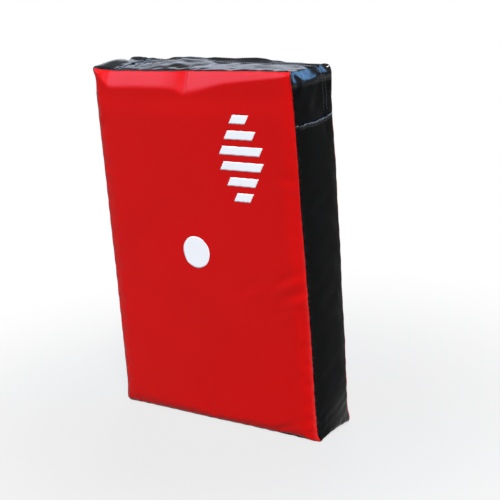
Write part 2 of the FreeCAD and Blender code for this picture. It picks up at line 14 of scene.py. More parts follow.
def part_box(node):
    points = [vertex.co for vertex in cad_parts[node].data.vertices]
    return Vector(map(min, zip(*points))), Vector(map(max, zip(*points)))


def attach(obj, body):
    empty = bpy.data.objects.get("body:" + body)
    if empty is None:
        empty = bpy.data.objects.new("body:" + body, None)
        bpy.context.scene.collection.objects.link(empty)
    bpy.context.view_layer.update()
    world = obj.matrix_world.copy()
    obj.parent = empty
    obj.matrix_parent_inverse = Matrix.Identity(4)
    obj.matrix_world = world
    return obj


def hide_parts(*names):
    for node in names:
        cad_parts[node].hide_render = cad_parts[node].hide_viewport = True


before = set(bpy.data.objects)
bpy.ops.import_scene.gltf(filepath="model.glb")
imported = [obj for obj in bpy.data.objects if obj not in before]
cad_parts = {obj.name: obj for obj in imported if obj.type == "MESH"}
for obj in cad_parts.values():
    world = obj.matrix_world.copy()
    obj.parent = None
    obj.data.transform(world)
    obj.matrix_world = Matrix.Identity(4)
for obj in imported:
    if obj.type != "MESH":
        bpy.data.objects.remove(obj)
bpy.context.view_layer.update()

# ---------------------------------------------------------------- camera
# A long lens, well off to the right of the striking face and a little above the top of the pad.
# It is tipped slightly on its own axis, as a camera held by hand is.

CAMERA_PLACE = (1.251, -1.596, 0.861)
CAMERA_TURN = math.radians(36.8)    # to the left of straight ahead
CAMERA_DIP = math.radians(15.8)     # below level
CAMERA_TIP = math.radians(-4.3)
LENS = 90.5                         # millimetres, on a sensor 36 wide

camera_data = bpy.data.cameras.new("camera")
camera_data.lens = LENS
camera_data.sensor_width = 36
camera = bpy.data.objects.new("camera", camera_data)
camera.matrix_world = (
    Matrix.Translation(CAMERA_PLACE)
    @ Matrix.Rotation(CAMERA_TURN, 4, "Z")
    @ Matrix.Rotation(math.pi / 2 - CAMERA_DIP, 4, "X")
    @ Matrix.Rotation(CAMERA_TIP, 4, "Z")
)
scene = bpy.context.scene
scene.collection.objects.link(camera)
scene.camera = camera
scene.view_settings.view_transform = "Standard"

# ---------------------------------------------------------------- floor and light
# A plain pale floor under an open sky: a high soft sun in front at the right, a weak one high behind,
# and three soft bright patches of sky, which the glossy vinyl mirrors.


class Wire:
    """One output of a node, so that arithmetic on it adds the Math nodes that it stands for."""

    def __init__(self, tree, socket):
        self.tree, self.socket = tree, socket

    def math(self, operation, *others):
        """Adds one Math node."""
        return self.tree.node("ShaderNodeMath", {"operation": operation}, self, *others)

    def __add__(self, other):
        return self.math("ADD", other)

    def __sub__(self, other):
        return self.math("SUBTRACT", other)

    def __rsub__(self, other):
        return self.tree.node("ShaderNodeMath", {"operation": "SUBTRACT"}, other, self)

    def __mul__(self, other):
        return self.math("MULTIPLY", other)

    __radd__, __rmul__ = __add__, __mul__

    def between(self, low, high):
        """0 up to low and 1 from high on, with a smooth run between."""
        return self.tree.node("ShaderNodeMapRange", {"interpolation_type": "SMOOTHSTEP"}, self, low, high)

    def tint(self, colour_0, colour_1, blend="MIX"):
        """One colour where this is 0 and another, or the two blended, where it is 1."""
        settings = {"data_type": "RGBA", "blend_type": blend}
        sockets = {"0": self, "6": colour_0, "7": colour_1}
        return self.tree.node("ShaderNodeMix", settings, output=2, **sockets)


class Tree:
    """The nodes of a material or of the sky."""

    def __init__(self, owner):
        owner.use_nodes = True
        self.owner, self.nodes = owner, owner.node_tree.nodes

    def feed(self, socket, value):
        """Links a socket to a Wire, or gives it a value. A colour of three parts gets a fourth of 1."""
        if isinstance(value, Wire):
            self.owner.node_tree.links.new(value.socket, socket)
        elif isinstance(value, tuple) and len(value) == 3 and len(socket.default_value) == 4:
            socket.default_value = (*value, 1)
        else:
            socket.default_value = value

    def node(self, kind, settings, *inputs, output=0, **named):
        """Adds a node: its settings first, then its sockets by place or by name."""
        made = self.nodes.new(kind)
        for name, value in settings.items():
            if name == "stops":
                ramp = made.color_ramp.elements
                while len(ramp) < len(value):
                    ramp.new(1)
                for stop, (place, colour) in zip(ramp, value):
                    stop.position, stop.color = place, (*colour, 1)
            else:
                setattr(made, name, value)
        for place, value in enumerate(inputs):
            self.feed(made.inputs[place], value)
        for name, value in named.items():
            place = int(name) if name.isdigit() else name.replace("_", " ")
            self.feed(made.inputs[place], value)
        return Wire(self, made.outputs[output])

    def vector(self, operation, *inputs, output=0, **named):
        """Adds one Vector Math node."""
        return self.node("ShaderNodeVectorMath", {"operation": operation}, *inputs, output=output, **named)

    def seen(self):
        """1 for what the camera sees, straight or in something glossy or clear, and 0 for light's rays."""
        rays = [self.node("ShaderNodeLightPath", {}, output=ray) for ray in (0, 3, 6)]
        return (rays[0] + rays[1] + rays[2]).math("MINIMUM", 1.0)


class Finish(Tree):
    """A material: its Principled shader's fixed sockets by name, and nodes that feed the others."""

    def __init__(self, name, **sockets):
        self.material = bpy.data.materials.new(name)
        super().__init__(self.material)
        self.shader = self.nodes["Principled BSDF"]
        self.set(**sockets)

    def set(self, **sockets):
        """Feeds the shader's sockets, which are named in small letters and with _ for a space."""
        for socket in self.shader.inputs:
            name = socket.name.lower().replace(" ", "_")
            if name in sockets:
                self.feed(socket, sockets[name])

    def place(self):
        """Where a point is on its piece, in metres."""
        return self.node("ShaderNodeTexCoord", {}, output=3)

    def noise(self, where, scale, detail=2.0, roughness=0.5):
        """Cloudy noise between 0 and 1, about scale clouds to a metre."""
        sockets = {"Vector": where, "Scale": scale, "Detail": detail, "Roughness": roughness}
        return self.node("ShaderNodeTexNoise", {}, **sockets)

    def bump(self, height, distance, strength=1.0):
        """Lets a height in units of distance tilt the surface."""
        self.set(normal=self.node("ShaderNodeBump", {}, Strength=strength, Distance=distance, Height=height))


def mesh_object(name, points, faces):
    """A smooth piece at the origin, from an array of points and a list of its faces' corners."""
    mesh = bpy.data.meshes.new(name)
    mesh.from_pydata(points.reshape(-1, 3).tolist(), [], faces)
    mesh.shade_smooth()
    made = bpy.data.objects.new(name, mesh)
    scene.collection.objects.link(made)
    return made


FLOOR_HALF = 30.0
SHADOW_REACH = (0.2, 0.9)       # between these distances from the pad its shadow gives way to white
SHADOW_WHITE = 0.74             # how white the floor is in the shadow

floor_corners = np.array([(-1, -1, 0), (1, -1, 0), (1, 1, 0), (-1, 1, 0)]) * FLOOR_HALF
floor = mesh_object("floor", floor_corners, [(0, 1, 2, 3)])
paper = Finish("floor_paper", roughness=0.9, specular_ior_level=0.1)
spot_on_floor = paper.place()
paper.set(base_color=paper.noise(spot_on_floor, 3.0).tint((0.19, 0.19, 0.195), (0.21, 0.21, 0.215)))
from_pad = paper.vector("LENGTH", spot_on_floor, output=1)
white = paper.node("ShaderNodeEmission", {}, (1.0, 1.0, 1.0), 1.0)
whiteness = paper.seen() * (from_pad.between(*SHADOW_REACH) * (1 - SHADOW_WHITE) + SHADOW_WHITE)
lit = Wire(paper, paper.shader.outputs[0])
mixed = paper.node("ShaderNodeMixShader", {}, whiteness, lit, white)
paper.feed(paper.nodes["Material Output"].inputs["Surface"], mixed)
floor.data.materials.append(paper.material)


def sunlight(name, stands, strength, colour, spread):
    """A sun as wide as spread degrees, which shines from where it stands to the top of the pad."""
    data = bpy.data.lights.new(name, "SUN")
    data.energy, data.color, data.angle = strength, colour, math.radians(spread)
    lamp = bpy.data.objects.new(name, data)
    lamp.location = stands
    lamp.rotation_euler = (lamp.location - Vector((0, 0, 0.5))).to_track_quat("Z", "Y").to_euler()
    scene.collection.objects.link(lamp)
    return lamp


sunlight("sun", (1.0, -1.05, 2.8), 4.8, (1.0, 0.97, 0.93), 14)
behind = sunlight("behind", (-0.9, 1.5, 2.2), 1.4, (0.93, 0.96, 1.0), 25)
behind.visible_glossy = False

SKY_STRENGTH = 0.32
GLOW_SOLID = 0.4                # the share of a bright patch's size that is at full strength
GLOW_DEPTH = 0.8                # keeps a patch to its own side of the sky
HAZE = (0.09, 0.05)             # the air is clear above the first height and white below the second
sky = Tree(bpy.data.worlds.new("sky"))
sight = sky.node("ShaderNodeTexCoord", {}, output=0)


def glow(towards, wide, tall, strength, colour):
    """A soft bright patch of sky: 1 in its middle, and 0 outside an ellipse.

    Its distance is |(offset along the horizon) / wide, (offset up) / tall, (offset onward) / GLOW_DEPTH|."""
    middle = Vector(towards).normalized()
    level = Vector((middle.y, -middle.x, 0)).normalized()
    offset = sky.vector("SUBTRACT", sight, middle)
    axes = (level / wide, Vector((0, 0, 1 / tall)), middle / GLOW_DEPTH)
    parts = [sky.vector("DOT_PRODUCT", offset, axis, output=1) for axis in axes]
    far = sky.vector("LENGTH", sky.node("ShaderNodeCombineXYZ", {}, *parts), output=1)
    full = tuple(part * strength for part in colour)
    return sky.vector("SCALE", full, **{"3": far.between(1.0, GLOW_SOLID)})


up = sky.node("ShaderNodeSeparateXYZ", {}, sight, output=2)
stops = ((0.0, (0.8, 0.86, 1.0)), (0.16, (0.62, 0.7, 0.88)), (1.0, (1.0, 1.0, 1.0)))
total = sky.vector("SCALE", sky.node("ShaderNodeValToRGB", {"stops": stops}, up), **{"3": SKY_STRENGTH})
for patch in (
    glow((-0.66, -0.62, 0.4), 0.75, 0.4, 2.1, (0.4, 0.66, 1.0)),        # in front, low at the left
    glow((-0.5, 0.74, 0.38), 0.36, 0.26, 1.36, (0.78, 0.85, 1.0)),      # behind at the left
    glow((0.43, 0.78, 0.46), 0.5, 0.36, 5.6, (0.2, 0.5, 1.0)),          # behind at the right
):
    total = sky.vector("ADD", total, patch)
total = (up.between(*HAZE) * sky.seen()).tint(total, (1.0, 1.0, 1.0))
sky.feed(sky.nodes["Background"].inputs["Color"], total)
scene.world = sky.owner

# ---------------------------------------------------------------- the cover's vinyl
# Polyester cloth coated with soft vinyl, embossed with a fine leather grain. It is glossy where it is
# stretched, a little duller where hands and kicks rub it, and picks up specks and faint scratches.

CLOUDS, RUBS, SPECKS, GRAIN = 7.0, 38.0, 420.0, 850.0       # how many there are to a metre
PAINTED_LIGHT_TINT = (1.16, 1.1, 1.1)       # painted light: how much paler the vinyl's colour is painted where its attribute polish is 1


def vinyl(name, colour, gloss, shine, polish, wear):
    """Coated fabric: gloss is its roughness at its shiniest, shine its mirror strength and wear how far
    its edges fade. Where the attribute "polish" is 1 it has a clear skin as well, polish strong, and its
    colour is painted paler there, as painted light."""
    made = Finish(name, specular_ior_level=shine, coat_roughness=0.17, coat_ior=1.5)
    place = made.place()
    cloudy = made.noise(place, CLOUDS, 3.0)
    rubbed = made.noise(place, RUBS, 4.0, 0.6).between(0.52, 0.74)
    worn = made.node("ShaderNodeAttribute", {"attribute_name": "worn"}, output=2)
    skin = made.node("ShaderNodeAttribute", {"attribute_name": "polish"}, output=2)
    dark, pale = (tuple(part * shade for part in colour) for shade in (0.93, 1.06))
    # painted light: where the attribute polish is 1 the colour is multiplied paler
    base = skin.tint(cloudy.tint(dark, pale), PAINTED_LIGHT_TINT, "MULTIPLY")
    speck = made.noise(place, SPECKS, 1.0).between(0.79, 0.83)
    speck = speck * made.noise(place, 30.0, 1.0).between(0.5, 0.6)
    # fading at the edges: wear, and along the side hem a painted highlight line
    chafed_and_highlight = worn * worn * made.noise(place, 160.0, 3.0).between(0.4, 0.66) * wear
    faded = tuple(part * 0.7 + 0.12 for part in colour)
    made.set(base_color=(speck * 0.5 + chafed_and_highlight).math("MINIMUM", 1.0).tint(base, faded))
    made.set(roughness=rubbed * 0.09 + cloudy * 0.06 + worn * 0.1 + gloss)
    made.set(coat_weight=skin * (cloudy * 0.4 + 0.8) * polish)
    pits = {"Vector": place, "Scale": GRAIN, "Smoothness": 0.6}
    pits = made.node("ShaderNodeTexVoronoi", {"feature": "SMOOTH_F1"}, **pits)
    grain = pits * 0.6 + made.noise(place, 2200.0) * 0.4
    drawn = made.node("ShaderNodeMapping", {}, place, Rotation=(0.3, 0.5, 0.2), Scale=(1, 14, 14))
    scratch = made.noise(drawn, 22.0).between(0.66, 0.7)
    height = grain * 0.05 - scratch * 0.05 + made.noise(place, 90.0) * 0.12
    made.bump(height, 0.001, 0.8)
    return made


red = vinyl("red_vinyl", (0.555, 0.0026, 0.0024), 0.27, 0.085, 0.62, 0.1)
black = vinyl("black_vinyl", (0.0029, 0.003, 0.0031), 0.2, 0.022, 0.95, 0.2)

# ---------------------------------------------------------------- the cover's shape
# Flat panels are sewn face to face into a box a little too large for its foam block, and turned right
# side out. The filling stretches the faces, while the vinyl puckers beside the seams and sags at the top.

HALF_WIDTH, HALF_DEPTH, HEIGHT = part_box("main_boxing")[1]
SEAM_CORNER, BAND_CORNER = 0.003, 0.013     # radius of the outline at the seams and halfway between
ACROSS, UP = 108, 132       # cells of a face panel
CROWD = 0.6                 # how much finer the cells are near a corner
CREASE_X = -0.015           # the crease in the striking face, where the cells are finer too
CREASE_SHARE = 0.5 + CREASE_X / (2 * HALF_WIDTH)


def crowded(count, finer_at=None):
    """Steps from 0 to 1 that are shorter near both ends: t - CROWD * sin(2 pi t) / (2 pi).

    With finer_at they are up to three times as close there, in a bell a twentieth wide."""
    even = np.linspace(0, 1, 4001)
    place = even - CROWD * np.sin(2 * math.pi * even) / (2 * math.pi)
    if finer_at is not None:
        effort = np.gradient(even, place) * (1 + 2.2 * np.exp(-(((place - finer_at) / 0.05) ** 2)))
        spent = np.concatenate([[0], np.cumsum((effort[1:] + effort[:-1]) / 2 * np.diff(place))])
        even = spent / spent[-1]
    return np.interp(np.linspace(0, 1, count + 1), even, place)


def side_run(length, count, radius, finer_at=None):
    """One side of the outline, from the middle of a rounded corner to the middle of the next.

    It gives how far along the side each step is and how far inside the side's line: an eighth of
    a turn of the corner's circle, the straight, and an eighth of a turn."""
    arc = radius * math.pi / 4
    path = crowded(count, finer_at) * (length - 2 * radius + 2 * arc)
    short = np.minimum(path, path[-1] - path)
    left = np.maximum(math.pi / 4 - short / radius, 0)
    along = np.where(left > 0, radius * (1 - np.sin(left)), radius + short - arc)
    along = np.where(path * 2 > path[-1], length - along, along)
    return along, radius * (1 - np.cos(left))


def outline_of(radius):
    """X and Z once round from the lower left corner: along the bottom, up, back along the top, down."""
    along_x, inset_x = side_run(2 * HALF_WIDTH, ACROSS, radius, CREASE_SHARE)
    back_x, back_inset = side_run(2 * HALF_WIDTH, ACROSS, radius, 1 - CREASE_SHARE)
    along_z, inset_z = side_run(HEIGHT, UP, radius)
    return np.concatenate([
        np.stack([along_x - HALF_WIDTH, inset_x], 1)[:-1],
        np.stack([HALF_WIDTH - inset_z, along_z], 1)[:-1],
        np.stack([HALF_WIDTH - back_x, HEIGHT - back_inset], 1)[:-1],
        np.stack([inset_z - HALF_WIDTH, HEIGHT - along_z], 1)[:-1],
    ])


def smooth(x, low, high):
    """0 up to low and 1 from high on: 3 t^2 - 2 t^3 between."""
    t = np.clip((x - low) / (high - low), 0, 1)
    return t * t * (3 - 2 * t)


def hump(x, middle, half):
    """A bell that is 1 at its middle: exp(-(distance / half)^2)."""
    return np.exp(-(((x - middle) / half) ** 2))


def steps(x, *pairs):
    """Straight runs between (x, value) pairs, with x and value in millimetres."""
    places, values = zip(*pairs)
    return np.interp(x, np.array(places) / 1000, np.array(values) / 1000)


def ripple(path, wave, seed):
    """Uneven ripples along a closed path, between -1 and 1: two sines whose phase wanders."""
    draw = np.random.default_rng(seed)
    total = path[-1] + 1e-9
    value = np.zeros_like(path)
    for octave in range(2):
        turns = max(1, round(total / wave * 1.6**octave))
        wander = sum(
            draw.uniform(-1.6, 1.6) * np.sin(2 * math.pi * k * path / total + draw.uniform(0, 6.3))
            for k in range(3, 9)
        )
        value += np.sin(2 * math.pi * turns * path / total + wander) / 1.5**octave
    return value / 2


def folds(a, b, pitch, run, seed, sharp=0.03, count=4):
    """Uneven folds that run along a, a pitch apart over b, between about -1 and 1.

    Each of a few waves is turned a little off the a axis and sways as it goes. A crest is
    1 - 2 sqrt(sin^2 + sharp), so it is a crease where sharp is small and the hollows are round."""
    draw = np.random.default_rng(seed)
    total = 0
    for _ in range(count):
        apart = pitch * draw.uniform(0.75, 1.6)
        turn = draw.normal(0, 1) * pitch / run
        sway = draw.uniform(0.8, 1.8)
        sway *= np.sin(2 * math.pi * a / (run * draw.uniform(0.8, 2.2)) + draw.uniform(0, 6))
        wave = np.sin(math.pi * (b + turn * a) / apart + draw.uniform(0, 6) + sway)
        total = total + 1 - 2 * np.sqrt((wave**2 + sharp) / (1 + sharp))
    return total / count**0.5


def patches(a, b, size, seed):
    """A slow drift between 0 and 1 over two lengths: (1/2 + the sum of two swaying sines / 4) ^ 1.5."""
    draw = np.random.default_rng(seed)
    p, q, r, s = draw.uniform(0, 6.3, 4)
    first = np.sin(2 * math.pi * a / size + p + 1.3 * np.sin(2 * math.pi * b / size + q))
    second = np.sin(2 * math.pi * (0.6 * a + 0.9 * b) / size + r + np.sin(2 * math.pi * a / size / 1.7 + s))
    return (0.5 + 0.25 * (first + second)) ** 1.5


tight, loose = outline_of(SEAM_CORNER), outline_of(BAND_CORNER)
ROUND = len(tight)          # columns of points once round the pad
ahead = np.roll(loose, -1, 0) - np.roll(loose, 1, 0)
outward = np.stack([ahead[:, 1], -ahead[:, 0]], 1) / np.linalg.norm(ahead, axis=1)[:, None]
around = np.linalg.norm(np.diff(np.concatenate([loose, loose[:1]]), axis=0), axis=1)
path = np.concatenate([[0], np.cumsum(around)])     # one more than the columns: it ends where it began
TOP_START, LEFT_START = ACROSS + UP, 2 * ACROSS + UP
x, z = tight.T
on_right = smooth(x, HALF_WIDTH - 0.012, HALF_WIDTH - 0.001)
on_left = smooth(-x, HALF_WIDTH - 0.012, HALF_WIDTH - 0.001)
on_top = smooth(z, HEIGHT - 0.02, HEIGHT - 0.004)
on_low = smooth(-z, -0.012, -0.001)


def drawn_in(right, left, low, top):
    """How the outline's points move when its four sides move inwards, each by its own distance."""
    return np.stack([left * on_left - right * on_right, low * on_low - top * on_top], 1)


# each seam lies in a groove with puckers, and the panels were cut and pulled a little out of square:
# a side's pairs are where it is and how far inwards it lies, and three corners stick out as ears
EAR, REAR_EAR = 0.014, 0.02     # how far from the corner an ear reaches
puckers = ripple(path[:-1], 0.028, 3)
groove = 0.0021 + 0.0004 * puckers
low_groove = groove + 0.0012 * (1 + 1.6 * hump(x, 0.15, 0.03) - 2.6 * smooth(x, 0.17, 0.2))
front_right = steps(
    z, (0, -7.2), (12, -1.7), (65, -0.2), (130, -0.4), (195, 0), (260, 0.8), (325, 2), (390, 3.8),
    (455, 3.4), (505, 4.2), (555, 5.4), (580, 7.4), (590, 9), (600, 9.4),
)
front_left = steps(z, (0, -5), (40, -3.2), (330, -4.4), (480, -5.4), (560, -5.6), (600, -2.4))
front_top = steps(
    x, (-200, -1), (-190, 1.5), (-170, 3.8), (-130, 2.9), (-90, 2.6), (-40, 1.8), (10, 0.8), (70, -1),
    (130, -2.4), (200, -2.4),
)
upper_ear = hump(np.hypot(x + HALF_WIDTH, z - HEIGHT), 0, EAR)[:, None] * (-0.0062, 0.001)
lower_ear = hump(np.hypot(x + HALF_WIDTH, z), 0, EAR)[:, None] * (-0.0042, 0)
front_move = drawn_in(front_right, front_left, 0, front_top) + upper_ear + lower_ear
front_seam = tight + front_move + drawn_in(groove, groove, low_groove, groove)

rear_groove = 0.0016 + 0.0005 * ripple(path[:-1], 0.034, 11)
rear_right = steps(
    z, (0, -2), (35, -1), (65, -2.2), (100, -2.8), (150, -4), (230, -3.6), (305, -5), (385, -4.3), (430, -5),
    (480, -4), (520, -3), (560, -4.6), (600, -4),
) - 0.0028 * smooth(-z, -0.56, -0.5)
rear_top = steps(
    x, (-200, -4), (-184, -5), (-163, -5), (-120, -3.2), (-105, -5.6), (-20, -6), (20, -5.4), (66, -7),
    (86, -5.4), (102, -3.4), (122, -0.8), (163, 0.8), (200, 1),
)
rear_ear = hump(np.hypot(x - HALF_WIDTH, z), 0, REAR_EAR)[:, None] * (0.0028, 0.0012)
rear_move = drawn_in(rear_right, 0, 0, rear_top) + rear_ear
rear_seam = tight + rear_move + drawn_in(rear_groove, rear_groove, rear_groove, rear_groove)

# how far each seam lies behind its face and how wide the face rolls down to it: right, left, low, top
FRONT_ROLL = ((0.0045, 0.024), (0.0026, 0.011), (0.004, 0.012), (0.0012, 0.006))
REAR_ROLL = ((0.003, 0.008), (0.0028, 0.01), (0.0014, 0.005))       # of the rear's left, low and top


def face_grid(seam, rolls):
    """X, depth and Z of a panel filled in between its four seams: each point is a blend of theirs.

    The depth falls to each seam by back * (1 - sqrt(1 - (1 - t)^2)), with t the way across the roll."""
    bottom = seam[: ACROSS + 1]
    right = seam[ACROSS : TOP_START + 1]
    top = seam[TOP_START : LEFT_START + 1][::-1]
    left = np.concatenate([seam[LEFT_START:], seam[:1]])[::-1]
    u, v = crowded(ACROSS, CREASE_SHARE)[None, :, None], crowded(UP)[:, None, None]
    flat = (1 - v) * bottom[None] + v * top[None] + (1 - u) * left[:, None] + u * right[:, None]
    flat -= (1 - u) * (1 - v) * bottom[0] + u * (1 - v) * bottom[-1]
    flat -= (1 - u) * v * top[0] + u * v * top[-1]
    ends = (right[:, None], left[:, None], bottom[None], top[None])
    drop = 0
    for end, axis, (back, roll) in zip(ends, (0, 0, 1, 1), rolls):
        t = np.clip(np.abs(flat - end)[..., axis] / roll, 0, 1)
        drop = drop + back * (1 - np.sqrt(1 - (1 - t) ** 2))
    return flat[..., 0], HALF_DEPTH - drop, flat[..., 1]


def joined(x, y, z):
    """Points from their three coordinates."""
    return np.stack([x, y, z], -1)


# the striking face: its top leans back in two long bulges that meet in a crease
LEAN = 0.34                 # how far back it goes for its height
x, y, z = face_grid(front_seam, FRONT_ROLL)
y = -y
unpuckered = z[-1] + 0.0004 * puckers[TOP_START : LEFT_START + 1][::-1]
below = np.maximum(unpuckered - z, 0)
band = steps(
    x, (-205, 2), (-196, 8), (-188, 18), (-176, 28), (-120, 27), (-60, 27), (-35, 29), (-15, 37), (0, 34),
    (15, 31), (65, 20), (132, 14), (176, 9), (200, 5),
)
lean = np.clip(1 - below / band, 0, 1)
y += LEAN * band * lean**1.15
crease = np.where(x < CREASE_X, hump(x, CREASE_X, 0.013), hump(x, CREASE_X, 0.003))
y += 0.0021 * crease * smooth(below, 0.036, 0.01)
y -= 0.0009 * hump(x, -0.008, 0.004) * hump(below, 0.022, 0.01)
# long shallow hollows over the foam, gathers beside the seams, and faint creases by the right edge
y += 0.00045 * folds(z, x, 0.19, 0.5, 21, 0.5, 3) * smooth(below, 0.03, 0.09)
edge = np.minimum(np.minimum(HALF_WIDTH - x, HALF_WIDTH + x), z)
gather = np.where(z < HALF_WIDTH - np.abs(x), np.sin(x * 225), np.sin(z * 205))
y += 0.00022 * gather * np.exp(-edge / 0.009) * smooth(below, 0.02, 0.06)
for dart_x, dart_z, slope, deep in (
    (0.165, 0.268, 0.5, 0.0022), (0.178, 0.242, 0.42, 0.002), (0.155, 0.215, 0.62, 0.001),
    (0.09, 0.245, 0.5, 0.0012), (0.14, 0.1, 0.7, 0.0005), (-0.17, 0.42, -0.4, 0.00025),
    (-0.15, 0.13, -0.8, 0.0003), (0.17, 0.43, -0.3, 0.0003),
):
    along = (x - dart_x) + (z - dart_z) * slope
    cross = (z - dart_z) - (x - dart_x) * slope
    y += deep * hump(cross, 0, 0.011) * hump(along, 0, 0.03) * np.tanh(cross / 0.006)
striking_face = joined(x, y, z)
tight_band = smooth(below, 0.075, 0.035)
# painted light: the leaning top band, less so just left of the crease, and a thin strip at the right edge
# get the clear coat and are painted paler
coat_and_painted_light = smooth(lean, 0.02, 0.3) * (1 - 0.6 * smooth(x, -0.075, -0.02) * (x < CREASE_X))
coat_and_painted_light = np.maximum(coat_and_painted_light, 0.6 * hump(x, HALF_WIDTH - 0.001, 0.004))

# the back, whose red shows round the pad's right edge
red_edge = smooth(-HEIGHT * crowded(UP), -0.55, -0.5)[:, None]
right_roll = (0.003 + 0.0035 * red_edge, 0.0042 + 0.0018 * red_edge)
x, y, z = face_grid(rear_seam, (right_roll, *REAR_ROLL))
y += 0.0004 * folds(z, x, 0.17, 0.5, 22, 0.5, 3) - 0.0006
back_face = joined(x, y, z)

# the boxing: out of each seam in a tight roll, then across; the distances are from the front seam
ROWS = np.array([
    0, 0.5, 1.3, 2.6, 4.5, 7.5, 11.5, 16, 21, 26.5, 32.5, 39, 46, 53, 59, 63, 66, 69.1,
    77, 84.9, 88, 91, 93.5, 95.8, 97.5, 98.8, 99.5, 100,
]) / 1000 - HALF_DEPTH
STITCH_FRONT, LIP_FRONT, LIP_REAR, STITCH_REAR = 16, 17, 19, 20     # numbers of rows
LAST = len(ROWS) - 1
SEAM_ROLL = 0.0045          # how wide the boxing rolls up from a seam
ZIP_Y, BEHIND_ZIP = 0.027, 0.0435              # depth of the zip, and of a ridge behind it
DRAWN_BACK, DRAWN_FORWARD = 0.0066, 0.0064      # how far the zip's two lips draw together at the corner


def rim(grid):
    """The points of a face panel's edge, in the outline's order."""
    return np.concatenate([grid[0, :-1], grid[:-1, -1], grid[-1, :0:-1], grid[:0:-1, 0]])


front_rim, rear_rim = rim(striking_face), rim(back_face)
share = (ROWS + HALF_DEPTH) / (2 * HALF_DEPTH)
mixed_y = ROWS + (front_rim[:, 1:2] + HALF_DEPTH) * (1 - share) ** 3
mixed_y += (rear_rim[:, 1:2] - HALF_DEPTH) * share**6
closing = smooth(loose[:, 0], HALF_WIDTH - 0.014, HALF_WIDTH - 0.003)
towards = np.zeros(len(ROWS))
towards[11:18] = DRAWN_BACK * np.array([0.05, 0.15, 0.35, 0.6, 0.8, 0.92, 1])
towards[19:24] = -DRAWN_FORWARD * np.array([1, 0.92, 0.65, 0.35, 0.1])
mixed_y = mixed_y + closing[:, None] * towards
from_front, from_rear = mixed_y - front_rim[:, 1:2], rear_rim[:, 1:2] - mixed_y
roll_front, roll_rear = (
    np.sqrt(1 - (1 - np.clip(away / SEAM_ROLL, 0, 1)) ** 2) for away in (from_front, from_rear)
)
middle = (1 - np.abs(mixed_y / HALF_DEPTH) ** 2.5).clip(0, 1)[..., None]
full = tight[:, None] * (1 - middle) + loose[:, None] * middle
across = (mixed_y / HALF_DEPTH + 1) / 2
to_front = (1 - on_top[:, None]) * (1 - across) + on_top[:, None] * smooth(-mixed_y, 0, 0.05)
to_rear = (1 - on_top[:, None]) * across + on_top[:, None] * smooth(mixed_y, 0.032, 0.045)
swung = full + to_front[..., None] * front_move[:, None] + to_rear[..., None] * rear_move[:, None]
band_xz = swung + (front_rim[:, None, ::2] - swung) * (1 - roll_front)[..., None]
band_xz += (rear_rim[:, None, ::2] - swung) * (1 - roll_rear)[..., None]
x, z, y = full[..., 0], full[..., 1], mixed_y
rise = np.zeros_like(y)

# the top is slack: it bulges, and the strips stand up in a soft ridge at their lips
BULGE, LIP_RIDGE = 0.0082, 0.0013
top, right = on_top[:, None], on_right[:, None]
inside = roll_front * roll_rear
off_zip = 1 - smooth(x, -0.2, -0.17) * hump(y, ZIP_Y, 0.0085)
arch = steps(x, (-190, 0.2), (-150, 1), (-60, 2.4), (60, 2.6), (150, 1.2), (190, 0))
rise += top * arch * hump(y, 0.012, 0.02)
rise += top * BULGE * hump(x, -0.192, 0.017) * hump(y, -0.006, 0.034) * off_zip
rise += top * BULGE * hump(x, -0.05, 0.042) * smooth(y, -0.048, 0.004) * (y < ZIP_Y)
lips = (hump(ROWS, 0.0185, 0.0035) + 0.7 * hump(ROWS, 0.0355, 0.003)) * (1 - 0.7 * closing[:, None])
rise += LIP_RIDGE * lips * np.maximum(top * smooth(x, -0.16, -0.14), right * smooth(z, 0.5, 0.53))
creased = folds(x, y, 0.019, 0.11, 5, 0.05, 4) * (0.3 + patches(x, y, 0.12, 6))
creased *= smooth(x, -0.19, -0.15) * smooth(y, 0.021, 0.012) * smooth(from_front, 0.001, 0.009)
rise += top * 0.0014 * creased
rise += top * 0.0006 * folds(x, y, 0.017, 0.1, 8, 0.08, 3) * smooth(y, 0.034, 0.041)
rise += top * 0.0013 * hump(y, BEHIND_ZIP, 0.0045)
rise -= top * 0.0008 * hump(x, -0.172, 0.011) * hump(y, ZIP_Y, 0.007)       # room for the zip's pull
heap = smooth(x, -0.18, -0.166) * smooth(-x, 0.09, 0.125)       # of crumples, in front of the zip's start
crumpled = folds(y, x, 0.02, 0.05, 12, 0.06, 4) + folds(x, y, 0.02, 0.05, 15, 0.06, 3)
rise += top * 0.0008 * heap * crumpled * off_zip * smooth(y, -0.035, -0.005)

# the sides are pulled tighter: a few soft folds across them, and puckers at the seams
rise += 0.0009 * np.maximum(right, on_left[:, None]) * (1 - (y / HALF_DEPTH) ** 2) * smooth(z, 0.05, 0.2)
rise += 0.0004 * right * folds(y, z, 0.05, 0.12, 31, 0.2, 3) * smooth(-z, -0.5, -0.4)
rise += 0.0007 * right * folds(z, y, 0.03, 0.12, 33, 0.08, 3) * smooth(z, 0.50, 0.54)
rise += 0.0007 * right * folds(y + z, y - z, 0.022, 0.07, 35, 0.05, 3) * smooth(-z, -0.07, -0.02)
rise += 0.0006 * puckers[:, None] * np.exp(-from_front / 0.008)
rise += 0.0042 * right * hump(y, 0.043, 0.008) * smooth(z, 0.545, 0.585)
rise += 0.0021 * on_left[:, None] * hump(from_front, 0.003, 0.003) * smooth(-z, -0.59, -0.55)
rise = rise * inside
band_xz += outward[:, None] * rise[..., None]


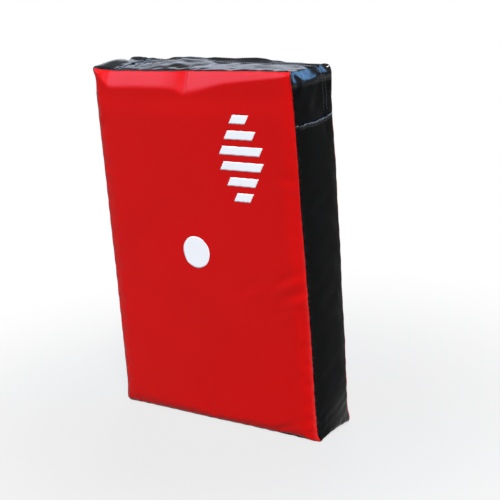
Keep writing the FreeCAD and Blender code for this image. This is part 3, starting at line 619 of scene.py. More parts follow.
# the upper right corner sinks in, as the boxing is longer round it than the foam is
def sink_corner(x, y, z, more=0.0):
    """Pushes what is outside a slanting cut across the corner back onto it, with its edges rounded.

    With w and s the cut's reach along X and Z, q = 1 - (W - x) / w - (H - z) / s is above 0
    outside the cut, and a point moves in by ln(1 + exp(9 q)) / 9 of (w, s) / 2."""
    w = more + steps(
        y, (-50, 6), (-46, 12), (-29, 14), (-12, 14), (4, 12.5), (14, 10.5), (21.5, 8), (34, 8), (39, 7),
        (46, 2.4), (50, 0.8),
    )
    s = more + steps(
        y, (-50, 6), (-46, 13), (-29, 17), (-12, 18.5), (4, 17), (14, 13.5), (21.5, 9), (34, 8), (39, 8),
        (46, 3), (50, 0.8),
    )
    q = 1 - (HALF_WIDTH - x) / w - (HEIGHT - z) / s
    q = np.log1p(np.exp(np.clip(9 * q, -50, 50))) / 9
    return x - q * w / 2, z - q * s / 2


sunk = np.stack(sink_corner(band_xz[..., 0], mixed_y, band_xz[..., 1]), -1)
off_rear_seam = 1 - np.exp(-from_rear / 0.0028)
band_xz += (sunk - band_xz) * off_rear_seam[..., None]
band_x, band_z = band_xz[..., 0], band_xz[..., 1]
near_corner = hump(np.hypot(band_x - HALF_WIDTH + 0.007, band_z - HEIGHT + 0.009), 0, 0.014) * inside
pleat = folds(y + 0.5 * z, y - 0.5 * z, 0.014, 0.06, 41, 0.08, 3) * smooth(-y, -0.02, -0.01)
pleat *= 0.0013 * near_corner
band_x, band_z = band_x + pleat * 0.8, band_z + pleat * 0.55
boxing = joined(band_x, mixed_y, band_z)
boxing[:, 0], boxing[:, -1] = front_rim, rear_rim


def numbers(grid):
    """The number of each point of a grid."""
    return np.arange(grid.shape[0] * grid.shape[1]).reshape(grid.shape[:2])


def cells(index, closed=False):
    """The faces of a grid of point numbers, whose first axis may close into a ring."""
    if closed:
        index = np.concatenate([index, index[:1]])
    corners = (index[:-1, :-1], index[:-1, 1:], index[1:, 1:], index[1:, :-1])
    return np.stack(corners, -1).reshape(-1, 4)


def closed_form(front, between, rear):
    """Points and faces of two panels joined by rings of points between their rims.

    After them come the numbers of the points in the front, in the band from rim to rim and in the rear."""
    number = numbers(front)
    behind = number + number.size
    band = [rim(number)[:, None], numbers(between) + 2 * number.size, rim(behind)[:, None]]
    band = np.concatenate(band, 1)
    points = np.concatenate([part.reshape(-1, 3) for part in (front, rear, between)])
    faces = np.concatenate([cells(number), cells(behind)[:, ::-1], cells(band, True)])
    return points, faces, number, band, behind


# ---------------------------------------------------------------- stuffing the cover
# The sewn cover is blown up a little as one closed cloth, held at its seams and along its zip, so that
# the vinyl swells between them and creases where it is too long for the block inside.

PRESSURE, SLACK = 0.6, (-0.002, -0.016)
SIDE_SLACK = 0.35                       # how much of the top's slack the right side has
MOST_FACE, MOST_BAND = 0.0016, 0.0022   # how far a point of a face or of the boxing may move
STILL = 0.96                            # how much of that the face loses on its leaning top
HEM_IN = 0.014                          # the zip's strips start so far under each hem
STEPS = 20


def swelled(start, faces, held, slack, shrink, pressure, most):
    """The points after they have swelled as cloth for STEPS steps, some held, each move bent to its limit.

    slack has pairs of points and how far they grow, as a share. A move of length d becomes
    most * tanh(d / most) long."""
    skin = mesh_object("skin", start, faces.tolist())
    skin.vertex_groups.new(name="held").add(held.tolist(), 1.0, "REPLACE")
    cloth = skin.modifiers.new("cloth", "CLOTH")
    fabric = cloth.settings
    fabric.quality, fabric.mass, fabric.vertex_group_mass = 5, 0.3, "held"
    for where, share in slack:
        group = skin.vertex_groups.get("slack") or skin.vertex_groups.new(name="slack")
        group.add(where.reshape(-1).tolist(), share, "REPLACE")
        fabric.vertex_group_shrink = "slack"
    fabric.shrink_min, fabric.shrink_max = shrink
    fabric.use_pressure, fabric.uniform_pressure_force = True, pressure
    fabric.effector_weights.gravity = 0
    cloth.collision_settings.use_collision = False
    scene.frame_start, scene.frame_end = 1, STEPS
    for step in range(1, STEPS + 1):
        scene.frame_set(step)
    end = np.zeros(start.size)
    skin.evaluated_get(bpy.context.evaluated_depsgraph_get()).data.vertices.foreach_get("co", end)
    scene.frame_set(1)
    bpy.data.objects.remove(skin)
    move = end.reshape(-1, 3) - start
    far = np.linalg.norm(move, axis=1) + 1e-9
    return start + move * (most * np.tanh(far / most) / far)[:, None]


def stuffed(front, ring, rear):
    """The two faces and the boxing between them after the cover has been blown up."""
    start, faces, number, band, behind = closed_form(front, ring[:, 1:-1], rear)
    at_zip = band[np.arange(SIDE_COLUMN - 2, TOP_COLUMN + 3), LIP_FRONT - 1 : LIP_REAR + 2]
    held = np.concatenate([band[:, (0, LAST)].reshape(-1), at_zip.reshape(-1)])
    slack = ((band[ACROSS:TOP_START], SIDE_SLACK), (band[TOP_START:LEFT_START], 1.0))
    most = np.full(len(start), MOST_BAND)
    most[: 2 * number.size] = MOST_FACE
    most[: number.size] *= 1 - STILL * tight_band.reshape(-1)
    moved = swelled(start, faces, held, slack, SLACK, PRESSURE, most)
    return moved[number], moved[band], moved[behind]


def column_at(start, stop, axis, value):
    """The column between start and stop that lies nearest to a hem."""
    return start + int(np.argmin(np.abs(loose[start:stop, axis] - value)))


SIDE_COLUMN = column_at(ACROSS, TOP_START, 1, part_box("zip_boxing_front")[0].z + HEM_IN)
TOP_COLUMN = column_at(TOP_START, LEFT_START, 0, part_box("zip_boxing_front")[0].x + HEM_IN)
striking_face, boxing, back_face = stuffed(striking_face, boxing, back_face)

# the pad stands on its lower edge, which lies flat there
for grid in (striking_face, boxing, back_face):
    grid[..., 2] = np.maximum(grid[..., 2], 0.0003)


def plate_of(name):
    """X and Z of the middle of a node's box, and half its width and height."""
    low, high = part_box(name)
    return (low.x + high.x) / 2, (low.z + high.z) / 2, (high.x - low.x) / 2, (high.z - low.z) / 2


# the back is held flat where the strap patches are sewn to it
strap_patches = [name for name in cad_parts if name.startswith("strap_patch")]
x, z = back_face[..., 0], back_face[..., 2]
for name in strap_patches:
    middle_x, middle_z, half_wide, half_tall = plate_of(name)
    past_x, past_z = np.abs(x - middle_x) - half_wide, np.abs(z - middle_z) - half_tall
    apart = np.hypot(np.maximum(past_x, 0), np.maximum(past_z, 0))
    pressed = 1 - smooth(apart, 0.004, 0.02)
    back_face[..., 1] += ((HALF_DEPTH - 0.0003) - back_face[..., 1]) * pressed

# ---------------------------------------------------------------- the two faces and the black boxing
# Red vinyl in front and behind, and black round the edges: a long piece from hem to hem, folded under
# at its ends and stitched over the two strips that hold the zip, whose own lips are folded too.

VINYL_THICK = 0.0008


def declared(piece, finish, node, thick=None, finer=True):
    """Gives a piece its finish and its thickness inwards, hangs it on the pad, and hides the part that it
    stands for.
    """
    piece.data.materials.append(finish.material)
    if finer:
        rounder = piece.modifiers.new("finer", "SUBSURF")
        rounder.levels = rounder.render_levels = 1
    if thick:
        wall = piece.modifiers.new("wall", "SOLIDIFY")
        wall.thickness, wall.offset = thick, -1
    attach(piece, "pad")
    if node:
        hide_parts(node)


def sheet_piece(name, grid, finish, node, slot, thick=VINYL_THICK, fill=None, **attributes):
    """A piece of cloth from a grid of points: smoothed, then given its thickness inwards."""
    piece = mesh_object(name, grid, cells(numbers(grid)).tolist())
    for attribute, values in attributes.items():
        layer = piece.data.attributes.new(attribute, "FLOAT", "POINT")
        layer.data.foreach_set("value", np.ascontiguousarray(values, dtype=np.float32).reshape(-1))
    declared(piece, finish, node, thick)


def edge_wear(grid):
    """1 on the pad's edges, where a face and the boxing meet, and gone 15 mm from them."""
    x, z = grid[..., 0], grid[..., 2]
    inner = np.minimum(HALF_WIDTH - np.abs(x), np.minimum(z, HEIGHT - z))
    inner = np.maximum(inner - 0.003, 0) + np.maximum(HALF_DEPTH - 0.004 - np.abs(grid[..., 1]), 0)
    return np.exp(-inner / 0.004)


def polish_of(grid):
    """1 over the top and its sunk corner, four fifths at the lower rear corner, where the vinyl is
    pulled shiny and its colour is painted paler as painted light, and almost none elsewhere."""
    x, y, z = grid[..., 0], grid[..., 1], grid[..., 2]
    rear_low = hump(np.sqrt((x - HALF_WIDTH) ** 2 + (y - HALF_DEPTH) ** 2 + z**2), 0, 0.05)
    return np.maximum(np.maximum(smooth(z, 0.572, 0.585), rear_low * 0.8), 0.03)


sheet_piece(
    "front_cover", striking_face, red, "front_panel", "red_vinyl",
    fill=0.9, worn=edge_wear(striking_face), polish=coat_and_painted_light,
)
rear_grid = back_face[:, ::-1]
sheet_piece("back_cover", rear_grid, red, "back_panel", "red_vinyl", fill=0.9, worn=edge_wear(rear_grid))

FOLD = 0.0009                   # radius of a folded edge
HEM_FOLD = 0.0013               # and of the side hem, which is thicker
FOLD_BACK = 0.007               # cloth turned under past the fold
HEM_PROUD = (0.0007, 0.0024)    # how far the top hem and the side hem stand up over the strips
HEM_FADE = 0.004                # how soon that fades behind the hem
ROUND_LENGTH = path[-1]
SIDE_HEM_PATH, TOP_HEM_PATH = path[SIDE_COLUMN], path[TOP_COLUMN]


def boxing_at(places):
    """Points of the boxing and directions out of it, where places has a path length for each row."""
    column = np.interp(places % ROUND_LENGTH, path, np.arange(ROUND + 1))
    low = np.minimum(column.astype(int), ROUND - 1)
    part = (column - low)[..., None]
    row = np.broadcast_to(np.arange(places.shape[1]), places.shape)
    point = boxing[low, row] * (1 - part) + boxing[(low + 1) % ROUND, row] * part
    out = outward[low] * (1 - part) + outward[(low + 1) % ROUND] * part
    return point, np.stack([out[..., 0], np.zeros(out.shape[:-1]), out[..., 1]], -1)


def folded_edge(point, out, onward, fold=FOLD):
    """Four rows round half a circle of radius fold, then the cloth turned under.

    point, out and onward hold, for each point of the edge, its place and two directions."""
    turn = np.radians([45, 90, 135, 180, 180, 180])[:, None, None]
    back = np.array([0, 0, 0, 0, 0.45, 1])[:, None, None] * FOLD_BACK
    return point + onward * (fold * np.sin(turn) - back) - out * (fold * (1 - np.cos(turn)))


wave_side = (steps(ROWS, (-50, -1.6), (-20, -0.4), (0, 0.2), (20, 1.6), (34, 2.6), (50, 4.6))
             + 0.0007 * np.sin(ROWS * 190) + 0.0004 * np.sin(ROWS * 420 + 1))
wave_top = 0.0007 * np.sin(ROWS * 130 + 2)
from_seam = np.minimum(ROWS + HALF_DEPTH, HALF_DEPTH - ROWS)
free = smooth(from_seam, 0.0, 0.005)

# the main piece, from the top hem down the left side, under the pad and up to the side hem
run_path = np.concatenate([path[TOP_COLUMN + 1 : -1], path[:SIDE_COLUMN] + ROUND_LENGTH])
start, stop = TOP_HEM_PATH + wave_top, SIDE_HEM_PATH + ROUND_LENGTH + wave_side
ends = np.array([0.0, 0.0012, 0.003])[:, None]
places = [start + ends, np.repeat(run_path[2:-2, None], len(ROWS), 1), (stop - ends)[::-1]]
places = np.maximum.accumulate(np.concatenate(places), 0)
point, out = boxing_at(places)
near = [np.exp(-np.maximum(apart, 0) / HEM_FADE) for apart in (places - start, stop - places)]
point = point + out * ((HEM_PROUD[0] * near[0] + HEM_PROUD[1] * near[1]) * free)[..., None]


def onward_at(point, out, first, second):
    """The direction along the boxing from one row of points to another, square to out."""
    run = point[second] - point[first]
    run = run - out[second] * (run * out[second]).sum(-1, keepdims=True)
    return run / np.linalg.norm(run, axis=-1, keepdims=True)


ahead_end = folded_edge(point[-1], out[-1], onward_at(point, out, -3, -1), HEM_FOLD)
ahead_start = folded_edge(point[0], out[0], onward_at(point, out, 2, 0))
main_grid = np.concatenate([ahead_start[::-1], point, ahead_end])
# the side hem's edge gets the clear coat and is painted pale, as wear and as a painted highlight line
hem_wear_and_highlight = np.clip((8 - np.arange(len(main_grid))[::-1]) / 2, 0, 1)[:, None]       # 1 on the side hem's edge
sheet_piece(
    "main_band", main_grid, black, "main_boxing", "black_vinyl", fill=0.8,
    worn=np.maximum(edge_wear(main_grid), 2 * hem_wear_and_highlight), polish=np.maximum(polish_of(main_grid), hem_wear_and_highlight),
)

# the two strips, tucked under the hems at both ends
UNDER_HEM = 0.0011              # how deep they lie under the hems
strip_path = path[SIDE_COLUMN : TOP_COLUMN + 1]
under = np.array([-0.01, -0.006, -0.003])
places = np.concatenate([
    SIDE_HEM_PATH + wave_side + under[:, None],
    np.repeat(strip_path[2:-2, None], len(ROWS), 1),
    TOP_HEM_PATH + wave_top - under[::-1, None],
])
places = np.maximum.accumulate(places, 0)
strip, strip_out = boxing_at(places)
over = np.minimum(places - (SIDE_HEM_PATH + wave_side), TOP_HEM_PATH + wave_top - places)
strip = strip - strip_out * (UNDER_HEM * free * (1 - smooth(over, -0.001, 0.006)))[..., None]
for name, lip, side in (("zip_strip_front", LIP_FRONT, 1), ("zip_strip_rear", LIP_REAR, -1)):
    from_lip = strip[:, lip::-1] if side > 0 else strip[:, lip:]
    turned = folded_edge(strip[:, lip], strip_out[:, lip], np.array([0, side, 0]))
    grid = np.concatenate([from_lip[:, ::-1], turned.transpose(1, 0, 2)], 1)[:, ::side]
    sheet_piece(
        name, grid, black, name.replace("strip", "boxing"), "black_vinyl",
        fill=0.7, worn=edge_wear(grid), polish=polish_of(grid),
    )

# ---------------------------------------------------------------- the filling
# Three slabs of foam inside the cover: a firm one behind the striking face, the thick core and a soft
# backing. They show only through the zip. They are cut from block foam, so their skin is open cells.


def foam(name, colour, pores):
    """Block foam with so many pores to a metre, with painted shade in them."""
    made = Finish(name, roughness=0.95, specular_ior_level=0.2)
    place = made.place()
    cell = made.node("ShaderNodeTexVoronoi", {"feature": "F1"}, Vector=place, Scale=pores)
    depth = cell.between(0.1, 0.55)
    dark, pale = (tuple(part * shade for part in colour) for shade in (0.55, 1.1))
    # painted shade: the colour is darker where the pores are deepest
    made.set(base_color=(depth * 0.7 + made.noise(place, 9.0, 3.0) * 0.3).tint(dark, pale))
    made.bump(depth * 0.8 + made.noise(place, pores * 0.3) * 0.4, 0.0012, 0.8)
    return made


FOAM_STEP = 3               # a slab has a point for every third of the cover's
CLEAR = 0.0025              # its room inside the cover
SLAB_ROUND = 0.004          # radius of its edges


def slab(name, near, far, finish):
    """A closed block between two depths, with the cover's own outline drawn in and its edges rounded.

    The wall between the two faces stands out by half a millimetre, as squeezed foam does."""
    low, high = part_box(name)
    face = striking_face[::FOAM_STEP, ::FOAM_STEP]
    x = (face[..., 0] * (1 - (CLEAR + 0.0015) / HALF_WIDTH)).clip(low.x, high.x)
    z = low.z + (high.z - low.z) * (face[..., 2] / HEIGHT).clip(0.002, 1)
    panels = []
    for y in (near, far):
        sunk_x, sunk_z = sink_corner(x, np.full_like(x, y), z, 0.004)
        edge = np.minimum(HALF_WIDTH - np.abs(sunk_x), np.minimum(sunk_z, high.z + 0.003 - sunk_z))
        inwards = math.copysign(SLAB_ROUND, near + far - 2 * y)
        drop = inwards * np.exp(-np.maximum(edge - 0.003, 0) / SLAB_ROUND)
        panels.append(joined(sunk_x, np.maximum(y + drop, face[..., 1] + CLEAR), sunk_z))
    first, last = (rim(panel)[:, None] for panel in panels)
    share = np.linspace(0, 1, 5)[1:-1, None]
    stands_out = 0.002 * share * (1 - share) * np.sign(first * (1, 0, 0))
    ring = first * (1 - share) + last * share + stands_out
    points, faces = closed_form(panels[0], ring, panels[1])[:2]
    piece = mesh_object(name.replace("foam", "slab"), points, faces.tolist())
    declared(piece, finish, name)


firm_foam = foam("firm_foam", (0.06, 0.06, 0.065), 900.0)
core_filling = foam("core_filling", (0.62, 0.53, 0.3), 620.0)
for name, finish, slot in (
    ("impact_foam", firm_foam, "eva_foam"), ("core_foam", core_filling, "pu_foam"),
    ("backing_foam", firm_foam, "eva_foam"),
):
    low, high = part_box(name)
    room = HALF_DEPTH - CLEAR - 0.001
    slab(name, max(low.y, -room), min(high.y, room), finish)

# ---------------------------------------------------------------- prints on the striking face
# A white disc to aim at, and six slanted bars beside it, screen printed in thick flexible ink. The
# film follows the vinyl, its edges are a little uneven, and it has worn thin in places.

ink = Finish("white_film", specular_ior_level=0.3)
place = ink.place()
thin = ink.noise(place, 70.0, 4.0, 0.65).between(0.66, 0.82) * 0.12
cracks = ink.node("ShaderNodeTexVoronoi", {"feature": "DISTANCE_TO_EDGE"}, Vector=place, Scale=260.0)
crazed = (1 - cracks.between(0.004, 0.02)) * ink.noise(place, 22.0).between(0.55, 0.7)
ink.set(base_color=(thin + crazed * 0.25).tint((0.84, 0.84, 0.84), (0.75, 0.32, 0.33)))
ink.set(roughness=ink.noise(place, 30.0) * 0.15 + 0.33)
ink.bump(ink.noise(place, 900.0) * 0.3 - crazed * 0.3, 0.0004, 0.6)
FILM_THICK, FILM_PROUD = 0.00012, 0.00022


def face_depth(grid, x, z):
    """Y of a face panel at X and Z, straight between the four nearest points of its grid."""
    column = np.interp(x, grid[UP // 2, :, 0], np.arange(ACROSS + 1)).clip(0, ACROSS - 1e-6)
    row = np.interp(z, grid[:, ACROSS // 2, 2], np.arange(UP + 1)).clip(0, UP - 1e-6)
    i, j = row.astype(int), column.astype(int)
    p, q = row - i, column - j
    y = grid[..., 1]
    low = y[i, j] * (1 - q) + y[i, j + 1] * q
    high = y[i + 1, j] * (1 - q) + y[i + 1, j + 1] * q
    return low * (1 - p) + high * p


def film(grids, name, node):
    """Prints from (x, z) grids of one size, laid on the striking face."""
    x, z = np.array(grids).transpose(1, 0, 2, 3)
    points = joined(x, face_depth(striking_face, x, z) - FILM_PROUD, z)
    faces = np.concatenate([cells(numbers(grid) + place * grid.size) for place, grid in enumerate(x)])
    declared(mesh_object(name, points, faces.tolist()), ink, node, FILM_THICK, finer=False)


middle_x, middle_z, spot_radius, _ = plate_of("target_spot")
u, v = np.meshgrid(np.linspace(-1, 1, 25), np.linspace(-1, 1, 25))
disc_x, disc_z = u * np.sqrt(1 - v * v / 2), v * np.sqrt(1 - u * u / 2)   # a square drawn to a disc
angle = np.arctan2(disc_z, disc_x)
uneven = 1 + 0.008 * np.sin(3 * angle + 1) + 0.006 * np.sin(7 * angle)
radius = spot_radius * uneven
film([(middle_x + disc_x * radius, middle_z + disc_z * radius)], "target_print", "target_spot")

middle_x, middle_z, half_wide, half_tall = plate_of("front_mark")
BAR_TALL, BAR_SLANT = 0.014, 0.008
BAR_SHARES = (0.4, 0.7, 1.0, 1.0, 0.7, 0.4)     # of the longest bar, from the lowest up
pitch = (2 * half_tall - BAR_TALL) / (len(BAR_SHARES) - 1)
u, v = np.meshgrid(np.linspace(-1, 1, 33), np.linspace(-1, 1, 9))
grids = []
for number, share in enumerate(BAR_SHARES):
    level = middle_z - half_tall + BAR_TALL / 2 + number * pitch
    x = middle_x + (half_wide - BAR_SLANT / 2) * share * u + BAR_SLANT / 2 * v
    z = level + BAR_TALL / 2 * v
    grids.append((x + 0.0003 * np.sin(9 * v + number), z + 0.0002 * np.sin(11 * u + 2 * number)))
film(grids, "bar_prints", "front_mark")

# ---------------------------------------------------------------- the zip
# A moulded zip: two woven tapes with a row of plastic teeth each, metal stops, and a plated slider
# with a pull on its bail. It runs along the top, round the upper right corner and down to the hem.


def weave(along, across, pick, end):
    """Height of a plain weave: threads over and under by turns, a pick or an end apart.

    The two sets of threads are |sin| of each length, and a checkerboard of signs says which is on top."""
    warp, weft = ((run * (math.pi / step)).math("SINE") for run, step in ((along, pick), (across, end)))
    over = warp * weft * 0.5 + 0.5
    return over * weft.math("ABSOLUTE") + (1 - over) * warp.math("ABSOLUTE")


def parts_of(made, where):
    """The three numbers of a place."""
    return [made.node("ShaderNodeSeparateXYZ", {}, where, output=axis) for axis in range(3)]


tape = Finish("zip_tape_cloth", roughness=0.85, specular_ior_level=0.25)
place = tape.place()
x, y, z = parts_of(tape, place)
ribs = weave(x - z, y, 0.0009, 0.0007)
fuzz = tape.noise(place, 1500.0)
# painted light and shade: the threads' crowns are paler and the dips between them darker, with random fuzz
tape.set(base_color=(ribs * 0.6 + fuzz * 0.4).tint((0.004, 0.004, 0.0045), (0.022, 0.022, 0.024)))
tape.bump(ribs * 0.25 + fuzz * 0.1, 0.0006, 0.9)

teeth = Finish("tooth_plastic", specular_ior_level=0.4)
place = teeth.place()
mould = teeth.noise(place, 260.0, 3.0)
teeth.set(base_color=mould.tint((0.008, 0.008, 0.009), (0.022, 0.022, 0.024)))
teeth.set(roughness=mould * 0.25 + 0.3)
teeth.bump(teeth.noise(place, 1800.0) * 0.1, 0.0005, 0.5)

plated = Finish("dark_nickel", metallic=1.0)
place = plated.place()
smudge = plated.noise(place, 180.0, 3.0)
brushed = plated.noise(plated.node("ShaderNodeMapping", {}, place, Scale=(1, 9, 9)), 1300.0)
plated.set(base_color=smudge.tint((0.26, 0.26, 0.275), (0.46, 0.455, 0.46)))
plated.set(roughness=smudge * 0.16 + brushed * 0.12 + 0.16)
plated.bump(brushed * 0.12 + plated.noise(place, 500.0, 3.0) * 0.15, 0.0004, 0.5)


def refinish(finish, *names):
    """Gives its real finish to a solid that is already the right shape."""
    for name in names:
        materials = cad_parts[name].data.materials
        materials.clear()
        materials.append(finish.material)


refinish(teeth, "zip_teeth_front", "zip_teeth_rear")
refinish(plated, "zip_start_stops", "zip_end_stop", "zip_slider", "zip_pull")

# the tapes lie under the strips and sink with them at the corner, but hold their row of teeth up
TAPE_THICK, TAPE_DEEP = 0.0006, 0.0023      # beside the teeth its outer face lies so deep in the pad
UNDER_STRIP = 0.0017                        # and elsewhere so deep under the strips
tape_run = np.arange(SIDE_COLUMN - 3, TOP_COLUMN + 4)
level = (loose - outward * TAPE_DEEP)[tape_run]
inwards = joined(outward[tape_run, :1], 0 * outward[tape_run, :1], outward[tape_run, 1:])
for name, rows, side in (
    ("zip_tape_front", slice(LIP_FRONT - 4, LIP_FRONT + 1), -1),
    ("zip_tape_rear", slice(LIP_REAR, LIP_REAR + 5), 1),
):
    edge_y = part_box(name)[1].y if side < 0 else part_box(name)[0].y
    under = boxing[tape_run, rows] - inwards * UNDER_STRIP
    under[..., 1] = side * np.maximum(side * under[..., 1], side * edge_y + 0.0016)
    at_teeth = edge_y + side * np.array([0.00005, 0.001]) + 0 * level[:, :1]
    at_teeth = joined(level[:, :1] + 0 * at_teeth, at_teeth, level[:, 1:] + 0 * at_teeth)
    grid = np.concatenate([at_teeth, under[:, ::side]], 1)[:, ::side]
    sheet_piece(name.replace("zip_", "") + "_cloth", grid, tape, name, "zip_tape", TAPE_THICK)

# ---------------------------------------------------------------- the arm straps
# Two bands of heavy webbing on the back, each an arch to put a forearm through, with its ends laid
# flat on vinyl patches. A foam grip in a vinyl sleeve is stitched round the middle of each.

STRAP_WIDE, STRAP_THICK, STRAP_BEND, ARCH_RADIUS, HALF_SPAN = 0.04, 0.002, 0.03, 0.116, 0.11
WEB_LOW, WEB_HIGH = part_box("strap_webbing_left")
STRAP_MIDDLE = (WEB_LOW.z + WEB_HIGH.z) / 2
STRAP_BASE = WEB_LOW.y
ARCH_Y = WEB_HIGH.y - ARCH_RADIUS - STRAP_THICK
ARCH_HALF = math.atan2(HALF_SPAN, STRAP_BASE + STRAP_BEND - ARCH_Y)


def strap_line(lift):
    """Y and Z of a line along the strap, lift above its underside, from the lower end to the upper.

    It runs flat, bends up with radius STRAP_BEND, goes over an arc of ARCH_RADIUS and mirrors."""
    flat = np.linspace(WEB_LOW.z, STRAP_MIDDLE - HALF_SPAN, 14)[:-1] - STRAP_MIDDLE
    turn = np.linspace(0, ARCH_HALF, 9)[:-1]
    small, big = STRAP_BEND - lift, ARCH_RADIUS + lift
    arc = np.linspace(-ARCH_HALF, 0, 25)
    bend_y = STRAP_BASE + STRAP_BEND - small * np.cos(turn)
    y = np.concatenate([np.full(len(flat), STRAP_BASE + lift), bend_y, ARCH_Y + big * np.cos(arc)])
    z = np.concatenate([flat, -HALF_SPAN + small * np.sin(turn), big * np.sin(arc)])
    return np.concatenate([y, y[-2::-1]]), np.concatenate([z, -z[-2::-1]]) + STRAP_MIDDLE


def ring_cells(rings):
    """The faces of a grid of points whose second axis closes into a ring."""
    number = numbers(rings)
    return cells(np.concatenate([number, number[:, :1]], 1))


def tube(name, rings):
    """A closed tube from rings of points, each end closed by a fan of faces round its middle."""
    points = np.concatenate([rings.reshape(-1, 3), rings[:1].mean(1), rings[-1:].mean(1)])
    number = numbers(rings)
    first, last = number.size, number.size + 1
    fans = [(first, after, at) for at, after in zip(number[0].tolist(), np.roll(number[0], -1).tolist())]
    fans += [(last, at, after) for at, after in zip(number[-1].tolist(), np.roll(number[-1], -1).tolist())]
    return mesh_object(name, points, ring_cells(rings).tolist() + fans)


HERRINGBONE = 0.0066        # how wide one row of its chevrons is
webbing = Finish("webbing_cloth", specular_ior_level=0.3)
along, across, _ = parts_of(webbing, webbing.node("ShaderNodeUVMap", {"uv_map": "strap"}))
chevron = (across * (math.pi / HERRINGBONE)).math("SINE").math("ABSOLUTE") * 0.0012
herringbone = weave(along + chevron, across, 0.0017, 0.0013)
fuzz = webbing.noise(webbing.place(), 1300.0, 3.0)
# painted light and shade: the threads' crowns are paler and the dips between them darker, with random fuzz
webbing.set(base_color=(herringbone * 0.6 + fuzz * 0.4).tint((0.0035, 0.0035, 0.004), (0.024, 0.024, 0.026)))
webbing.set(roughness=fuzz * 0.2 + 0.65)
webbing.bump(herringbone * 0.4 + fuzz * 0.12, 0.0008, 1.0)


def band_ring(half_wide, half_thick, power, count):
    """X across and height above the middle of a flat band's section: |x|^power + |y|^power = 1."""
    a = np.linspace(0, 2 * math.pi, count, endpoint=False)
    c, s = np.cos(a), np.sin(a)
    x = half_wide * np.sign(c) * np.abs(c) ** (2 / power)
    return x, half_thick * np.sign(s) * np.abs(s) ** (2 / power)


section_x, section_high = band_ring(STRAP_WIDE / 2, STRAP_THICK / 2, 5, 40)
mid_y, mid_z = strap_line(STRAP_THICK / 2)
run = np.stack([np.gradient(mid_y), np.gradient(mid_z)], 1)
run /= np.linalg.norm(run, axis=1)[:, None]
out = joined(0 * mid_y, run[:, 1], -run[:, 0])      # the direction out of the strap
length = np.concatenate([[0], np.cumsum(np.hypot(np.diff(mid_y), np.diff(mid_z)))])
RIGHT_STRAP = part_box("strap_webbing_right")[0].x + STRAP_WIDE / 2
STRAP_X = {"left": -RIGHT_STRAP, "right": RIGHT_STRAP}

# the grips: each a foam tube round the webbing, inside a sleeve blown up a little between its ends
GRIP_LONG, GRIP_FOAM, GRIP_SKIN = 0.12, 0.005, 0.001
GRIP_PRESSURE, GRIP_SWELLS = 4.0, 0.0012
GRIP_HALF = np.array([STRAP_WIDE / 2 + 0.003, STRAP_THICK / 2 + GRIP_FOAM])
GRIP_LINE = ARCH_RADIUS + STRAP_THICK / 2
grip_foam = foam("grip_core", (0.05, 0.05, 0.052), 1100.0)
sleeve = vinyl("sleeve_vinyl", (0.0036, 0.0036, 0.004), 0.24, 0.3, 0.6, 0.3)


def round_grip(middle, half, turns):
    """Rings of a grip's section carried round the arch, one for each angle in turns."""
    x, high = band_ring(*half, 4.5, 36)
    radius = GRIP_LINE + high
    y = ARCH_Y + radius * np.cos(turns)[:, None]
    z = STRAP_MIDDLE + radius * np.sin(turns)[:, None]
    return joined(np.broadcast_to(middle + x, y.shape), y, z)


half_turn = GRIP_LONG / ARCH_RADIUS / 2
turns = np.linspace(-half_turn, half_turn, 40)
grip_rings = {}
for hand, middle in STRAP_X.items():
    centre = joined(np.full(len(mid_y), middle), mid_y, mid_z)
    rings = centre[:, None] + section_high[:, None] * out[:, None]
    rings[..., 0] += section_x
    strap = tube(f"strap_{hand}", rings)
    corner = np.zeros(len(strap.data.loops), dtype=np.int32)
    strap.data.loops.foreach_get("vertex_index", corner)
    spread = np.zeros((len(strap.data.vertices), 2))        # along and across it, in metres
    lengths = np.stack(np.broadcast_arrays(length[:, None], section_x), -1).reshape(-1, 2)
    spread[: len(lengths)] = lengths
    strap.data.uv_layers.new(name="strap").data.foreach_set("uv", spread[corner].reshape(-1))
    declared(strap, webbing, f"strap_webbing_{hand}", finer=False)

    core = tube(f"grip_core_{hand}", round_grip(middle, GRIP_HALF, turns[1:-1]))
    declared(core, grip_foam, f"grip_foam_{hand}", finer=False)
    rings = round_grip(middle, GRIP_HALF + GRIP_SKIN, turns)
    held = np.concatenate([numbers(rings)[:3], numbers(rings)[-3:]]).reshape(-1)
    start = rings.reshape(-1, 3)
    rings = swelled(
        start, ring_cells(rings), held, (), (-0.03, 0), GRIP_PRESSURE, GRIP_SWELLS
    ).reshape(rings.shape)
    cover = mesh_object(f"grip_cover_{hand}", rings, ring_cells(rings).tolist())
    declared(cover, sleeve, f"grip_sleeve_{hand}", GRIP_SKIN)
    grip_rings[hand] = rings

# the patches: doubled vinyl under the ends of the webbing, cut with round corners
PATCH_ROUND, PATCH_THICK = 0.006, 0.001


def round_patch(name, across, up):
    """X and Z of a grid over a node's box with its corners rounded, and how far inside its edge each is.

    In a corner's square, a point at (p, q) from its inner corner is drawn in to
    (p, q) * max(p, q) / sqrt(p^2 + q^2), which turns the square into a quarter of a disc."""
    middle_x, middle_z, half_wide, half_tall = plate_of(name)
    u, v = np.meshgrid(np.linspace(-1, 1, across + 1), np.linspace(-1, 1, up + 1))
    x, z = half_wide * np.sin(u * math.pi / 2), half_tall * np.sin(v * math.pi / 2)
    p, q = np.abs(x) - (half_wide - PATCH_ROUND), np.abs(z) - (half_tall - PATCH_ROUND)
    draw = np.maximum(p, q) / (np.hypot(p, q) + 1e-12)
    inside = (p <= 0) | (q <= 0)
    x = np.where(inside, x, np.sign(x) * (half_wide - PATCH_ROUND + p * draw))
    z = np.where(inside, z, np.sign(z) * (half_tall - PATCH_ROUND + q * draw))
    return x + middle_x, z + middle_z, np.minimum(half_wide - np.abs(x), half_tall - np.abs(z))


